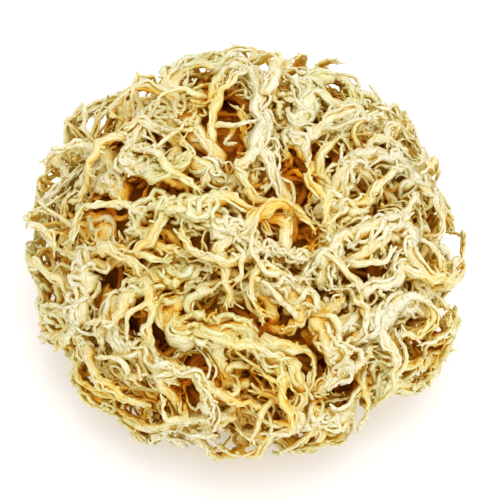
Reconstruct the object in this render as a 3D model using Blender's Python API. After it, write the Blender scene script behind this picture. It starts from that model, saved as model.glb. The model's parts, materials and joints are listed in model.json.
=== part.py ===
"""Elkhorn sea moss: one dried clump of branching seaweed, tangled in the hand's breadth and lying on a table.

The clump is a low ball of separate plants, called fronds here. Each frond has a thick gnarled axis that winds
over the clump, side branches, and thin curling branchlets with pointed tips. The innermost fronds are matted
together round a solid heart, and their strands stand out of it. Metres, +Z up, origin on the table under the
middle of the clump.
"""

import math

import bmesh
import bpy
import numpy as np
from mathutils.bvhtree import BVHTree

# The outline of the whole clump, an uneven ellipsoid that the table cuts off below
OUTLINE_HALF = np.array([0.0720, 0.0765, 0.0475])
OUTLINE_MIDDLE = np.array([0.0, 0.0, 0.0398])

# Where the outline swells or dips: its side (near faces the front and top, far the back and bottom), right
# and up in millimetres, seen along LOOK_DOWN, by what share it rises, and how wide the place is in degrees
LOBES = (
    ("near", 13, 75, -0.110, 12), ("near", -13, 75, 0.045, 12), ("near", -50, 56, -0.030, 18),
    ("near", -74, 20, 0.045, 20), ("near", -72, -26, 0.050, 13), ("near", -60, -47, -0.050, 13),
    ("near", -26, -72, 0.050, 13), ("near", 44, -62, -0.100, 15), ("near", 68, -40, 0.035, 11),
    ("near", 76, -13, 0.045, 13), ("near", 56, 56, -0.015, 16), ("near", -14, 48, 0.050, 18),
    ("near", 16, 14, -0.070, 14), ("near", -46, 0, -0.060, 15), ("near", 18, -29, -0.060, 12),
    ("near", -8, 2, 0.045, 17), ("near", 50, 2, 0.045, 16), ("near", 0, -46, 0.035, 15),
    ("near", 42, 40, 0.035, 14), ("near", -52, 32, 0.030, 13), ("far", -8, 30, 0.045, 20),
    ("far", -44, 12, -0.050, 18), ("far", 46, 8, 0.040, 18), ("far", 24, 40, -0.050, 15),
)

# The matted heart: a lumpy core, and arches that leave it and dive back in, as shares of the outline
CORE_SHARE = 0.80
CORE_LUMPS = 0.08
ARCHES = 18
ARCH_SHARES = (0.92, 0.88, 0.84, 0.80)
ARCH_SPAN = math.radians(62)
ARCH_RADIUS = 0.0030
ARCH_STEPS = 6
ARCH_TRIES = 8

# The direction from which the routes of the fronds were laid out: from the front, looking down this steeply,
# and how often a line of sight is carried on to the uneven outline
LOOK_DOWN = math.radians(60)
SIGHT_ROUNDS = 3

# Strands, from the thick axis to the thin branchlet
AXIS_RADIUS = 0.0038
AXIS_END_RADIUS = 0.0016
AXIS_STEP = 0.0085
BRANCH_RADIUS = 0.0021
BRANCH_END_RADIUS = 0.0009
BRANCH_STEP = 0.0077
BRANCH_STEPS = 5
BRANCHLET_RADIUS = 0.0013
BRANCHLET_END_RADIUS = 0.0006
BRANCHLET_STEP = 0.0068
BRANCHLET_STEPS = 3
BRANCHES_PER_FROND = 8
BRANCHLETS_PER_FROND = 4
HEART_BRANCHES = 18

# Clear space between two fronds, and how far a strand may sink into the table's plane before it is cut flat
GAP = 0.0005
TABLE_SINK = 0.45

# Edges shorter than this, which a union leaves round a root, are collapsed: the first width at which no faces
# cross is taken, and no face gets smaller than the least area
SHORT_EDGES = (0.0011, 0.0008, 0.0005, 0.0003)
LEAST_AREA = 2e-8

# Tries for one strand, of which the one with most room is kept
TRIES = 7

# Each frond: a name, which side of the clump it lies on (near faces the front and top, far the back and
# bottom), and its route in millimetres as (right, up, below the outline), seen along LOOK_DOWN
ROUTES = {
    "frond_crest": ("near", [(-8, 30, 14), (-20, 48, 8), (-26, 62, 0), (-13, 71, -1), (0, 64, 0), (8, 48, 1),
                             (6, 32, 1), (13, 17, 2), (18, 5, 6)]),
    "frond_left_arch": ("near", [(-24, 44, 12), (-31, 52, 5), (-39, 41, 1), (-42, 29, 0), (-33, 26, 0),
                                 (-20, 29, 1), (-9, 22, 2), (-2, 15, 8)]),
    "frond_middle": ("near", [(-44, 2, 13), (-38, 11, 4), (-25, 14, 0), (-11, 9, 0), (1, 3, 0), (12, -3, 0),
                              (22, -5, 1)]),
    "frond_right_hook": ("near", [(28, -14, 14), (30, -3, 5), (42, 5, 0), (52, 8, -1), (57, -1, 0),
                                  (50, -12, 0), (39, -19, 2), (33, -27, 9)]),
    "frond_right_fan": ("near", [(24, 12, 14), (29, 15, 5), (34, 27, 0), (43, 32, 0), (54, 29, 0),
                                 (65, 23, 0), (72, 14, 0), (76, 5, 0)]),
    "frond_top_loop": ("near", [(22, 32, 14), (20, 44, 4), (22, 57, 0), (31, 64, -1), (40, 55, 0),
                                (36, 44, 2), (26, 41, 8)]),
    "frond_right_shoulder": ("near", [(48, 36, 14), (45, 48, 4), (53, 50, 1), (61, 42, 1), (67, 31, 1)]),
    "frond_right_low": ("near", [(20, -30, 14), (30, -34, 3), (38, -27, 0), (48, -24, 0), (60, -18, 0),
                                 (70, -11, 0), (78, -5, 0)]),
    "frond_right_rim": ("near", [(36, -38, 14), (47, -46, 3), (57, -52, 0), (67, -45, 0), (74, -34, 0),
                                 (76, -22, 0)]),
    "frond_front": ("near", [(-22, -18, 12), (-30, -23, 3), (-18, -30, 0), (-5, -27, 0), (7, -36, 0),
                             (19, -47, 0), (16, -60, 0), (3, -70, 0)]),
    "frond_ring": ("near", [(-16, -6, 13), (-28, -9, 4), (-39, -15, 0), (-46, -25, 0), (-42, -36, 0),
                            (-30, -41, 0), (-18, -46, 0), (-12, -58, 0), (-18, -71, 0)]),
    "frond_left": ("near", [(-50, -14, 14), (-62, -27, 4), (-73, -22, 0), (-76, -8, 0), (-75, 7, 0),
                            (-70, 20, 0), (-60, 30, 3)]),
    "frond_left_inner": ("near", [(-60, 12, 14), (-52, 4, 5), (-58, -6, 1), (-55, -18, 0), (-58, -30, 0),
                                  (-50, -42, 0), (-38, -50, 1)]),
    "frond_lower_middle": ("near", [(2, -12, 13), (9, -17, 4), (20, -19, 1), (26, -29, 0), (33, -38, 1),
                                    (28, -48, 1), (31, -58, 4)]),
    "frond_left_top": ("near", [(-44, 18, 14), (-52, 28, 8), (-65, 38, 0), (-57, 50, 0), (-46, 57, 0),
                                (-36, 65, 1)]),
    "frond_left_foot": ("near", [(-50, -34, 10), (-60, -41, 1), (-57, -53, 0), (-46, -61, 0), (-35, -70, 0),
                                 (-26, -66, 2)]),
    "frond_right_foot": ("near", [(20, -58, 12), (30, -56, 2), (37, -59, 0), (32, -68, 0), (21, -72, 0),
                                  (10, -72, 2)]),
    "frond_back_left": ("far", [(-40, 30, 14), (-58, 30, 4), (-66, 14, 1), (-52, 8, 0), (-42, 26, 0),
                                (-38, 44, 0), (-28, 58, 2)]),
    "frond_back": ("far", [(-22, 28, 14), (-24, 46, 2), (-12, 60, 0), (2, 62, 0), (8, 46, 0), (-4, 32, 1),
                           (-16, 20, 4)]),
    "frond_back_right": ("far", [(30, 24, 14), (20, 38, 3), (28, 54, 0), (42, 50, 0), (52, 36, 0),
                                 (40, 26, 1), (28, 14, 4)]),
    "frond_back_far_right": ("far", [(52, 8, 14), (64, 18, 4), (70, 2, 1), (60, -12, 0), (48, -4, 0),
                                     (44, 12, 4)]),
    "frond_under_front": ("far", [(-32, -42, 8), (-19, -50, 2), (-4, -45, 0), (9, -51, 0), (21, -50, 0),
                                  (36, -42, 1)]),
    "frond_under_left": ("far", [(-56, -18, 10), (-44, -8, 2), (-30, 2, 0), (-18, -8, 0), (-26, -24, 0),
                                 (-40, -30, 0)]),
    "frond_under_right": ("far", [(44, -26, 10), (32, -14, 2), (18, -2, 0), (4, -10, 0), (8, -26, 0),
                                  (24, -36, 0)]),
}
SEED = 7


def unit(vector):
    return vector / max(np.linalg.norm(vector), 1e-12)


def turned(vector, axis, angle):
    """The vector turned by the right-hand rule about a unit axis."""
    across = np.cross(axis, vector)
    kept = axis * (axis @ vector) * (1 - math.cos(angle))
    return vector * math.cos(angle) + across * math.sin(angle) + kept


def lobed(ways):
    """By what factor the outline lies further out than the ellipsoid, along ways in its own measures."""
    ways = ways / np.maximum(np.linalg.norm(ways, axis=-1, keepdims=True), 1e-12)
    return 1 + np.exp(2 * (ways @ LOBE_WAYS.T - 1) / LOBE_SPREADS**2) @ LOBE_RISES


def share_of(points):
    """Where points lie between the clump's middle (0) and its outline (1)."""
    offset = (points - OUTLINE_MIDDLE) / OUTLINE_HALF
    return np.linalg.norm(offset, axis=-1) / lobed(offset)


def outward(point):
    """The outline's outward normal at the point of it that is nearest in direction."""
    return unit((point - OUTLINE_MIDDLE) / OUTLINE_HALF**2)


def depth_of(point):
    """How far a point lies below the outline; it is negative outside."""
    share = share_of(point)
    slope = np.linalg.norm((point - OUTLINE_MIDDLE) / OUTLINE_HALF**2) / max(share, 1e-9)
    return (1 - share) / max(slope, 1e-9)


def on_ellipsoid(side, right, up):
    """What a viewer sees at (right, up) of the plain ellipsoid's near or far side, from its middle."""
    forward = np.array([0.0, math.cos(LOOK_DOWN), -math.sin(LOOK_DOWN)])
    upward = np.array([0.0, math.sin(LOOK_DOWN), math.cos(LOOK_DOWN)])
    start = np.array([right, 0.0, 0.0]) + up * upward
    a = np.sum((forward / OUTLINE_HALF) ** 2)
    b = np.sum(start * forward / OUTLINE_HALF**2)
    c = np.sum((start / OUTLINE_HALF) ** 2) - 1
    reach = math.sqrt(max(b * b - a * c, 0.0))
    travel = (-b - reach if side == "near" else -b + reach) / a
    return start + travel * forward


def seen_at(side, right, up, sink):
    """The point seen at (right, up) on the near or the far side of the outline, sunk below it."""
    factor = 1.0
    for _ in range(SIGHT_ROUNDS):
        offset = factor * on_ellipsoid(side, right / factor, up / factor)
        factor = lobed(offset / OUTLINE_HALF)
    point = OUTLINE_MIDDLE + offset
    return point - sink * outward(point)


LOBE_PLACES = [on_ellipsoid(side, 0.001 * right, 0.001 * up) for side, right, up, _, _ in LOBES]
LOBE_WAYS = np.array([unit(place / OUTLINE_HALF) for place in LOBE_PLACES])
LOBE_RISES = np.array([lobe[3] for lobe in LOBES])
LOBE_SPREADS = np.radians([lobe[4] for lobe in LOBES])


def smooth_route(waypoints, step):
    """Points a step apart on the Catmull-Rom curve through the waypoints."""
    ends = [2 * waypoints[0] - waypoints[1], *waypoints, 2 * waypoints[-1] - waypoints[-2]]
    fine = []
    for p0, p1, p2, p3 in zip(ends, ends[1:], ends[2:], ends[3:]):
        for t in np.linspace(0, 1, 24, endpoint=False):
            bend = (2 * p0 - 5 * p1 + 4 * p2 - p3) * t**2 + (3 * p1 - p0 - 3 * p2 + p3) * t**3
            fine.append(0.5 * (2 * p1 + (p2 - p0) * t + bend))
    fine = np.array([*fine, waypoints[-1]])
    travelled = np.concatenate([[0], np.cumsum(np.linalg.norm(np.diff(fine, axis=0), axis=1))])
    count = max(3, round(travelled[-1] / step) + 1)
    marks = np.linspace(0, travelled[-1], count)
    return np.column_stack([np.interp(marks, travelled, fine[:, k]) for k in range(3)])


class Strand:
    """One stretch of seaweed: its centreline, its radii, its frond and its rank (0 axis, 2 finest)."""

    def __init__(self, points, radii, frond, rank):
        self.points = np.array(points)
        self.radii = np.array(radii)
        self.frond = frond
        self.rank = rank


class Tangle:
    """All strands laid so far, which a new one keeps clear of."""

    def __init__(self):
        self.strands = []
        self.starts = np.zeros((0, 3))
        self.spans = np.zeros((0, 3))
        self.thick = np.zeros(0)
        self.owner = np.zeros(0, int)

    def add(self, strand):
        self.strands.append(strand)
        self.starts = np.vstack([self.starts, strand.points[:-1]])
        self.spans = np.vstack([self.spans, np.diff(strand.points, axis=0)])
        self.thick = np.append(self.thick, np.maximum(strand.radii[:-1], strand.radii[1:]))
        self.owner = np.append(self.owner, np.full(len(strand.points) - 1, strand.frond))

    def away(self, points, mine):
        """For each point, the gap to the nearest of the segments in mine, and the way from it."""
        starts, spans, thick = self.starts[mine], self.spans[mine], self.thick[mine]
        if not len(starts):
            return np.full(len(points), 1.0), np.zeros((len(points), 3))
        offset = points[:, None] - starts
        along = np.clip(np.sum(offset * spans, 2) / np.sum(spans * spans, 1), 0, 1)
        apart = offset - along[..., None] * spans
        gaps = np.linalg.norm(apart, axis=2) - thick
        best = gaps.argmin(1)
        rows = np.arange(len(points))
        return gaps[rows, best], apart[rows, best]

    def room(self, points, radii, frond):
        """The gaps of a strand's points to other fronds and to the heart, and those to its own frond."""
        others, _ = self.away(points, self.owner != frond)
        own, _ = self.away(points, self.owner == frond)
        heart = (share_of(points) - CORE_SHARE) * OUTLINE_HALF.min() if frond != HEART else 1.0
        return np.minimum(others, heart) - radii, own - radii


HEART = len(ROUTES)


def between(points, radii):
    """The points and three more between each two, each with its radius, for testing whole segments."""
    thirds = [points[:-1] + np.diff(points, axis=0) * k / 4 for k in range(4)]
    wide = [np.maximum(radii[:-1], radii[1:])] * 4
    return np.vstack([*thirds, points[-1:]]), np.append(np.concatenate(wide), radii[-1])


def on_table(points, radii):
    """Lifts points that would lie below the table, so that a strand there is only cut flat underneath."""
    points[..., 2] = np.maximum(points[..., 2], np.asarray(radii) * (1 - TABLE_SINK))
    return points


def lay_axis(tangle, number, side, route, rng):
    """The frond's axis along its route, bent clear of the axes that lie there already."""
    waypoints = [seen_at(side, *(0.001 * value for value in stop)) for stop in route]
    points = smooth_route(waypoints, AXIS_STEP)
    points[1:-1] += rng.normal(0, 0.0007, (len(points) - 2, 3))
    share = np.linspace(0, 1, len(points))
    radii = AXIS_RADIUS + (AXIS_END_RADIUS - AXIS_RADIUS) * share**1.5
    radii *= rng.uniform(0.88, 1.12, len(points))
    others = tangle.owner != number
    for _ in range(60):
        middles = (points[1:] + points[:-1]) / 2
        moved = np.zeros_like(points)
        for part, wide, first in ((points, radii, 0), (middles, np.maximum(radii[1:], radii[:-1]), 1)):
            gap, way = tangle.away(part, others)
            heart = (share_of(part) - CORE_SHARE) * OUTLINE_HALF.min() - wide
            push = np.maximum(2 * GAP + wide - gap, 0)[:, None] * way
            push /= np.maximum(np.linalg.norm(way, axis=1), 1e-9)[:, None]
            out = np.array([outward(p) for p in part]) * np.maximum(2 * GAP - heart, 0)[:, None]
            if first:
                moved[1:] += (push + out) / 2
                moved[:-1] += (push + out) / 2
            else:
                moved += push + out
        if not moved.any():
            break
        points = on_table(points + 0.6 * moved, radii)
    return Strand(on_table(points, radii), radii, number, 0)


def sprout(tangle, parent, place, side_sign, rng, plan):
    """The best of several tries at a side strand that leaves its parent at a place; None if nothing fits."""
    steps, step, radius, end_radius, dive = plan
    here = parent.points[place]
    along = unit(parent.points[min(place + 1, len(parent.points) - 1)] - parent.points[max(place - 1, 0)])
    best, best_score = None, 0.0
    for _ in range(TRIES):
        normal = outward(here)
        angle = math.radians(rng.uniform(35, 95))
        heading = along * math.cos(angle) + np.cross(normal, along) * side_sign * math.sin(angle)
        heading = unit(heading + normal * rng.uniform(-0.15, 0.55))
        curl = rng.normal(0, 0.42)
        wanted = rng.uniform(-0.001, dive)
        points = [here]
        for _ in range(steps):
            normal = outward(points[-1])
            heading = turned(heading, normal, curl + rng.normal(0, 0.25))
            lift = np.clip((depth_of(points[-1]) - wanted) * 120, -1.2, 1.2)
            steer = normal * (lift * 0.5 - 0.25 * (heading @ normal))
            heading = unit(heading + steer + rng.normal(0, 0.12, 3))
            points.append(points[-1] + heading * step * rng.uniform(0.85, 1.15))
        share = np.linspace(0, 1, steps + 1)
        radii = radius + (end_radius - radius) * share**1.3
        radii[1:-1] *= rng.uniform(0.85, 1.15, steps - 1)
        points = on_table(np.array(points), radii)
        samples, wide = between(points, radii)
        clear, own = tangle.room(samples, wide, parent.frond)
        blocked = np.flatnonzero(clear.reshape(-1)[: 4 * steps].reshape(4, steps).min(0) < GAP)
        kept = blocked[0] if len(blocked) else steps
        if np.append(clear[:steps], clear[-1])[kept] < GAP:
            kept -= 1
        if kept < 2:
            continue
        spare = np.minimum(clear, 0.004)[:kept].mean() + np.clip(own, 0, 0.004)[1:kept].mean()
        score = kept * step * (0.2 + spare / 0.008)
        if score > best_score:
            radii = radii[: kept + 1].copy()
            radii[-1] = end_radius
            best, best_score = Strand(points[: kept + 1], radii, parent.frond, parent.rank + 1), score
    return best


def grow_branches(tangle, parents, count, rng, plan):
    """Side strands spread evenly over the parents, left and right in turn."""
    grown = []
    places = [(parent, place) for parent in parents for place in range(1, len(parent.points) - 1)]
    marks = np.linspace(0, len(places) - 1, count)
    for turn, mark in enumerate(marks):
        parent, place = places[round(mark)]
        strand = sprout(tangle, parent, place, 1 if turn % 2 else -1, rng, plan)
        if strand:
            tangle.add(strand)
            grown.append(strand)
    return grown


BRANCH = (BRANCH_STEPS, BRANCH_STEP, BRANCH_RADIUS, BRANCH_END_RADIUS, 0.008)
BRANCHLET = (BRANCHLET_STEPS, BRANCHLET_STEP, BRANCHLET_RADIUS, BRANCHLET_END_RADIUS, 0.002)


def lay_arch(tangle, number, rng):
    """A strand that leaves the core, runs over it as high as the fronds' axes allow, and dives back in."""
    golden = math.pi * (3 - math.sqrt(5))
    height = 1 - (2 * number + 1) / ARCHES
    flat = math.sqrt(1 - height * height)
    pole = np.array([flat * math.cos(golden * number), flat * math.sin(golden * number), height])
    aside = unit(np.cross(pole, [0.3, 0.5, 0.8]))
    angles = np.linspace(-ARCH_SPAN / 2, ARCH_SPAN / 2, ARCH_STEPS + 1)
    rise = np.sin(np.linspace(0, math.pi, ARCH_STEPS + 1))
    radii = ARCH_RADIUS * (0.7 + 0.3 * rise)
    for top in ARCH_SHARES:
        best, best_room = None, GAP
        for turn in rng.uniform(0, math.pi, ARCH_TRIES):
            forth = turned(aside, pole, turn)
            ways = np.outer(np.cos(angles), pole) + np.outer(np.sin(angles), forth)
            ways += np.outer(rng.normal(0, 0.07, ARCH_STEPS + 1), np.cross(pole, forth))
            ways /= np.linalg.norm(ways, axis=1)[:, None]
            shares = 0.9 * CORE_SHARE + (top - 0.9 * CORE_SHARE) * rise
            shares *= lobed(ways)
            points = on_table(OUTLINE_MIDDLE + ways * OUTLINE_HALF * shares[:, None], radii)
            room = tangle.room(*between(points, radii), HEART)[0].min()
            if room > best_room:
                best, best_room = Strand(points, radii, HEART, 0), room
        if best:
            return best
    return None


def grow_clump():
    """The whole tangle: every frond's axis, then the heart's arches, then branches, then branchlets."""
    tangle = Tangle()
    for number, (side, route) in enumerate(ROUTES.values()):
        tangle.add(lay_axis(tangle, number, side, route, np.random.default_rng([SEED, number, 0])))
    axes = list(tangle.strands)
    for number in range(ARCHES):
        arch = lay_arch(tangle, number, np.random.default_rng([SEED, HEART, number]))
        if arch:
            tangle.add(arch)
    arches = tangle.strands[len(axes):]
    branches = {}
    for axis in axes:
        rng = np.random.default_rng([SEED, axis.frond, 1])
        branches[axis.frond] = grow_branches(tangle, [axis], BRANCHES_PER_FROND, rng, BRANCH)
    grow_branches(tangle, arches, HEART_BRANCHES, np.random.default_rng([SEED, HEART, ARCHES]), BRANCH)
    for axis in axes:
        rng = np.random.default_rng([SEED, axis.frond, 2])
        grow_branches(tangle, branches[axis.frond], BRANCHLETS_PER_FROND, rng, BRANCHLET)
    return tangle


def footprint_middle(tangle):
    """The middle of the clump's footprint, which the origin is moved to."""
    lows = np.min([(s.points - s.radii[:, None]).min(0) for s in tangle.strands], axis=0)
    highs = np.max([(s.points + s.radii[:, None]).max(0) for s in tangle.strands], axis=0)
    return np.array([(lows[0] + highs[0]) / 2, (lows[1] + highs[1]) / 2, 0.0])


def clear_scene():
    for obj in list(bpy.data.objects):
        bpy.data.objects.remove(obj, do_unlink=True)


def new_collection(name, rendered=True):
    collection = bpy.data.collections.new(name)
    collection.hide_render = not rendered
    bpy.context.scene.collection.children.link(collection)
    return collection


def plain_material(name, colour, roughness):
    material = bpy.data.materials.new(name)
    material.use_nodes = True
    shader = material.node_tree.nodes["Principled BSDF"]
    shader.inputs["Base Color"].default_value = (*colour, 1)
    shader.inputs["Roughness"].default_value = roughness
    shader.inputs["Metallic"].default_value = 0
    return material


def section(name, sides, flatness, guides):
    """A closed outline of unit radius, pressed flat by the flatness, which is swept along a strand."""
    curve = bpy.data.curves.new(name, "CURVE")
    spline = curve.splines.new("POLY")
    spline.points.add(sides - 1)
    for k, point in enumerate(spline.points):
        angle = 2 * math.pi * (k + 0.5) / sides
        point.co = (math.cos(angle), flatness * math.sin(angle), 0, 1)
    spline.use_cyclic_u = True
    outline = bpy.data.objects.new(name, curve)
    outline.hide_render = True
    guides.objects.link(outline)
    return outline


def drawn_strand(strand, outline, shift, guides):
    """The strand as a curve object with its section swept along it."""
    curve = bpy.data.curves.new("strand", "CURVE")
    curve.dimensions = "3D"
    curve.bevel_mode = "OBJECT"
    curve.bevel_object = outline
    curve.use_fill_caps = True
    spline = curve.splines.new("POLY")
    spline.points.add(len(strand.points) - 1)
    for point, place, radius in zip(spline.points, strand.points - shift, strand.radii):
        point.co = (*place, 1)
        point.radius = radius
    obj = bpy.data.objects.new("strand", curve)
    guides.objects.link(obj)
    return obj


def as_solid(curve_object, name, collection, graph):
    """The curve's mesh with its caps welded on and its faces pointing out, as a new object."""
    mesh = bpy.data.meshes.new_from_object(curve_object.evaluated_get(graph), depsgraph=graph)
    work = bmesh.new()
    work.from_mesh(mesh)
    bmesh.ops.remove_doubles(work, verts=work.verts, dist=1e-6)
    bmesh.ops.triangulate(work, faces=work.faces)
    bmesh.ops.recalc_face_normals(work, faces=work.faces)
    work.to_mesh(mesh)
    work.free()
    obj = bpy.data.objects.new(name, mesh)
    obj.matrix_world = curve_object.matrix_world
    collection.objects.link(obj)
    return obj


def heart_core(shift, collection):
    """The solid inside the heart, with a lumpy surface, stretched to the outline's shape."""
    work = bmesh.new()
    bmesh.ops.create_icosphere(work, subdivisions=2, radius=1)
    for vert in work.verts:
        way = np.array(vert.co)
        lump = 0.5 + 0.5 * math.sin(7 * way[0] + 3 * way[1]) * math.sin(6 * way[1] - 4 * way[2] + 1)
        share = CORE_SHARE * (1 - CORE_LUMPS * lump) * lobed(way)
        vert.co = OUTLINE_MIDDLE - shift + way * OUTLINE_HALF * share
    mesh = bpy.data.meshes.new("heart_core")
    work.to_mesh(mesh)
    work.free()
    obj = bpy.data.objects.new("heart_core", mesh)
    collection.objects.link(obj)
    return obj


def table_cutter(guides):
    """A block whose top is the table's plane; what a frond has below it is cut off flat."""
    bpy.ops.mesh.primitive_cube_add(size=1, location=(0, 0, -0.05))
    block = bpy.context.object
    block.name = "table_plane"
    block.scale = (0.4, 0.4, 0.1)
    bpy.ops.object.transform_apply(location=True, scale=True)
    for collection in list(block.users_collection):
        collection.objects.unlink(block)
    guides.objects.link(block)
    block.hide_render = True
    block.display_type = "WIRE"
    return block


def outer_body(work):
    """Keeps a mesh's largest body, so that a hollow sealed by the union is filled and a scrap is dropped."""
    left = set(work.faces)
    bodies = []
    while left:
        body = [left.pop()]
        for face in body:
            near = {other for edge in face.edges for other in edge.link_faces} & left
            left -= near
            body += near
        bodies.append(body)
    bodies.sort(key=len)
    lost = [face for body in bodies[:-1] for face in body]
    bmesh.ops.delete(work, geom=lost, context="FACES")


def can_collapse(kept, moved):
    """Whether an edge's one end can move onto the other with the mesh closed and no face turned over."""
    shared = {e.other_vert(kept) for e in kept.link_edges} & {e.other_vert(moved) for e in moved.link_edges}
    if len(shared) != 2:
        return False
    for face in moved.link_faces:
        if kept in face.verts:
            continue
        before = [vert.co for vert in face.verts]
        after = [kept.co if vert is moved else vert.co for vert in face.verts]
        old = (before[1] - before[0]).cross(before[2] - before[0])
        new = (after[1] - after[0]).cross(after[2] - after[0])
        if new.length < 2 * LEAST_AREA or new.dot(old) < 0.5 * new.length * old.length:
            return False
    return True


def crosses_itself(work):
    """Whether two faces that share no corner meet."""
    work.faces.ensure_lookup_table()
    tree = BVHTree.FromBMesh(work)
    pairs = ((work.faces[i], work.faces[j]) for i, j in tree.overlap(tree) if i < j)
    return any(set(one.verts).isdisjoint(other.verts) for one, other in pairs)


def tidied(mesh):
    """Keeps the outer body and collapses its short edges, each onto its lower end, so flats stay flat."""
    for width in SHORT_EDGES:
        work = bmesh.new()
        work.from_mesh(mesh)
        bmesh.ops.triangulate(work, faces=work.faces)
        outer_body(work)
        for edge in sorted(work.edges, key=lambda e: e.calc_length()):
            if not edge.is_valid or edge.calc_length() > width:
                continue
            low, high = sorted(edge.verts, key=lambda v: v.co.z)
            if can_collapse(low, high):
                bmesh.ops.pointmerge(work, verts=[low, high], merge_co=low.co)
        if not crosses_itself(work):
            break
    work.to_mesh(mesh)
    work.free()


def fused(name, solids, block, collection, parts):
    """One frond: its strands joined by one Boolean union, and cut flat where it lies on the table."""
    target = solids[0]
    collection.objects.unlink(target)
    parts.objects.link(target)
    target.name = name
    union = target.modifiers.new("join strands", "BOOLEAN")
    union.operation = "UNION"
    union.operand_type = "COLLECTION"
    union.collection = collection
    union.solver = "EXACT"
    cut = target.modifiers.new("lie flat on the table", "BOOLEAN")
    cut.operation = "DIFFERENCE"
    cut.object = block
    cut.solver = "EXACT"
    graph = bpy.context.evaluated_depsgraph_get()
    joined = bpy.data.meshes.new_from_object(target.evaluated_get(graph), depsgraph=graph)
    target.modifiers.clear()
    target.data = joined
    tidied(joined)
    for obj in list(collection.objects):
        bpy.data.objects.remove(obj, do_unlink=True)
    return target


def main():
    clear_scene()
    tangle = grow_clump()
    shift = footprint_middle(tangle)
    parts = new_collection("elkhorn_sea_moss")
    guides = new_collection("guides", rendered=False)
    outlines = [
        section("axis_section", 4, 0.8, guides),
        section("branch_section", 3, 1.0, guides),
        section("branchlet_section", 3, 1.0, guides),
    ]
    block = table_cutter(guides)
    drawn = [(s, drawn_strand(s, outlines[s.rank], shift, guides)) for s in tangle.strands]
    graph = bpy.context.evaluated_depsgraph_get()
    names = [*ROUTES, "matted_heart"]
    for number, name in enumerate(names):
        strands = new_collection(name + "_strands", rendered=False)
        solids = [heart_core(shift, strands)] if number == HEART else []
        solids += [as_solid(o, "strand", strands, graph) for s, o in drawn if s.frond == number]
        frond = fused(name, solids, block, strands, parts)
        warm = 0.08 * (number % 4)
        colour = (0.55, 0.32, 0.12) if number == HEART else (0.86, 0.76 - warm / 2, 0.52 - warm)
        frond.data.materials.clear()
        frond.data.materials.append(plain_material(name, colour, 0.7))
        bpy.data.collections.remove(strands)
    for _, obj in drawn:
        bpy.data.objects.remove(obj, do_unlink=True)


main()
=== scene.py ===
"""The looks of the clump: its fronds as bundles of woven, forking strands on a pale floor in soft light.

The fronds grow here by the same routes, rules and seeds as the solids, and are then drawn finer: each strand
becomes a flat, wavy band with finer strands woven round it, and side strands, curls, prongs and nubs grow
from it. Metres, +Z up, in the frame of the solids.
"""

import json
import math

import bmesh
import bpy
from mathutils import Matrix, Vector
from mathutils.kdtree import KDTree
import numpy as np


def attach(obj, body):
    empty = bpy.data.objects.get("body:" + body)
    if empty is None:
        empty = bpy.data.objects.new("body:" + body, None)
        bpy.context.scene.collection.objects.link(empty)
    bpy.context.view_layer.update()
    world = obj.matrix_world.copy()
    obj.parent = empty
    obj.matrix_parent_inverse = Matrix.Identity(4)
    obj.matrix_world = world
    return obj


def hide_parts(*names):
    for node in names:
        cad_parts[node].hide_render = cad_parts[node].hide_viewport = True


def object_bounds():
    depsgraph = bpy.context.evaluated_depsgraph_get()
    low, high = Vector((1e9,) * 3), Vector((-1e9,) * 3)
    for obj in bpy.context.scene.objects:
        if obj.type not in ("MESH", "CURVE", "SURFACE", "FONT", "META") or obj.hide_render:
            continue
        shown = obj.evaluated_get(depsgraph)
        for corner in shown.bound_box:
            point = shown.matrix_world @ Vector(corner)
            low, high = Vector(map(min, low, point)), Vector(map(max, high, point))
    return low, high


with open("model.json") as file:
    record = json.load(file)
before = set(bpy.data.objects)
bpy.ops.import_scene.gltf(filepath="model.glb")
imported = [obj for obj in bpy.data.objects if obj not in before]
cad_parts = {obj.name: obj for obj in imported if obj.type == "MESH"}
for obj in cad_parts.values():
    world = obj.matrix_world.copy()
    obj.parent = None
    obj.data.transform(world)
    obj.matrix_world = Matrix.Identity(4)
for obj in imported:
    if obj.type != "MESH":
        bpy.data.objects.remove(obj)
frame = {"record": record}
cad_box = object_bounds()

# The outline of the whole clump, an uneven ellipsoid that the table cuts off below
OUTLINE_HALF = np.array([0.0720, 0.0765, 0.0475])
OUTLINE_MIDDLE = np.array([0.0, 0.0, 0.0398])

# What the tables below are given in
MILLIMETRE = 0.001

# Where the outline swells or dips: its side (near faces the front and top, far the back and bottom), right
# and up in millimetres, seen along LOOK_DOWN, by what share it rises, and how wide the place is in degrees
LOBES = (
    ("near", 13, 75, -0.110, 12), ("near", -13, 75, 0.045, 12), ("near", -50, 56, -0.030, 18),
    ("near", -74, 20, 0.045, 20), ("near", -72, -26, 0.050, 13), ("near", -60, -47, -0.050, 13),
    ("near", -26, -72, 0.050, 13), ("near", 44, -62, -0.100, 15), ("near", 68, -40, 0.035, 11),
    ("near", 76, -13, 0.045, 13), ("near", 56, 56, -0.015, 16), ("near", -14, 48, 0.050, 18),
    ("near", 16, 14, -0.070, 14), ("near", -46, 0, -0.060, 15), ("near", 18, -29, -0.060, 12),
    ("near", -8, 2, 0.045, 17), ("near", 50, 2, 0.045, 16), ("near", 0, -46, 0.035, 15),
    ("near", 42, 40, 0.035, 14), ("near", -52, 32, 0.030, 13), ("far", -8, 30, 0.045, 20),
    ("far", -44, 12, -0.050, 18), ("far", 46, 8, 0.040, 18), ("far", 24, 40, -0.050, 15),
)

# The matted heart: a lumpy core, and arches that leave it and dive back in, as shares of the outline
CORE_SHARE = 0.80
ARCHES = 18
ARCH_SHARES = (0.92, 0.88, 0.84, 0.80)
ARCH_SPAN = math.radians(62)
ARCH_RADIUS = 0.0030
ARCH_STEPS = 6
ARCH_TRIES = 8

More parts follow.
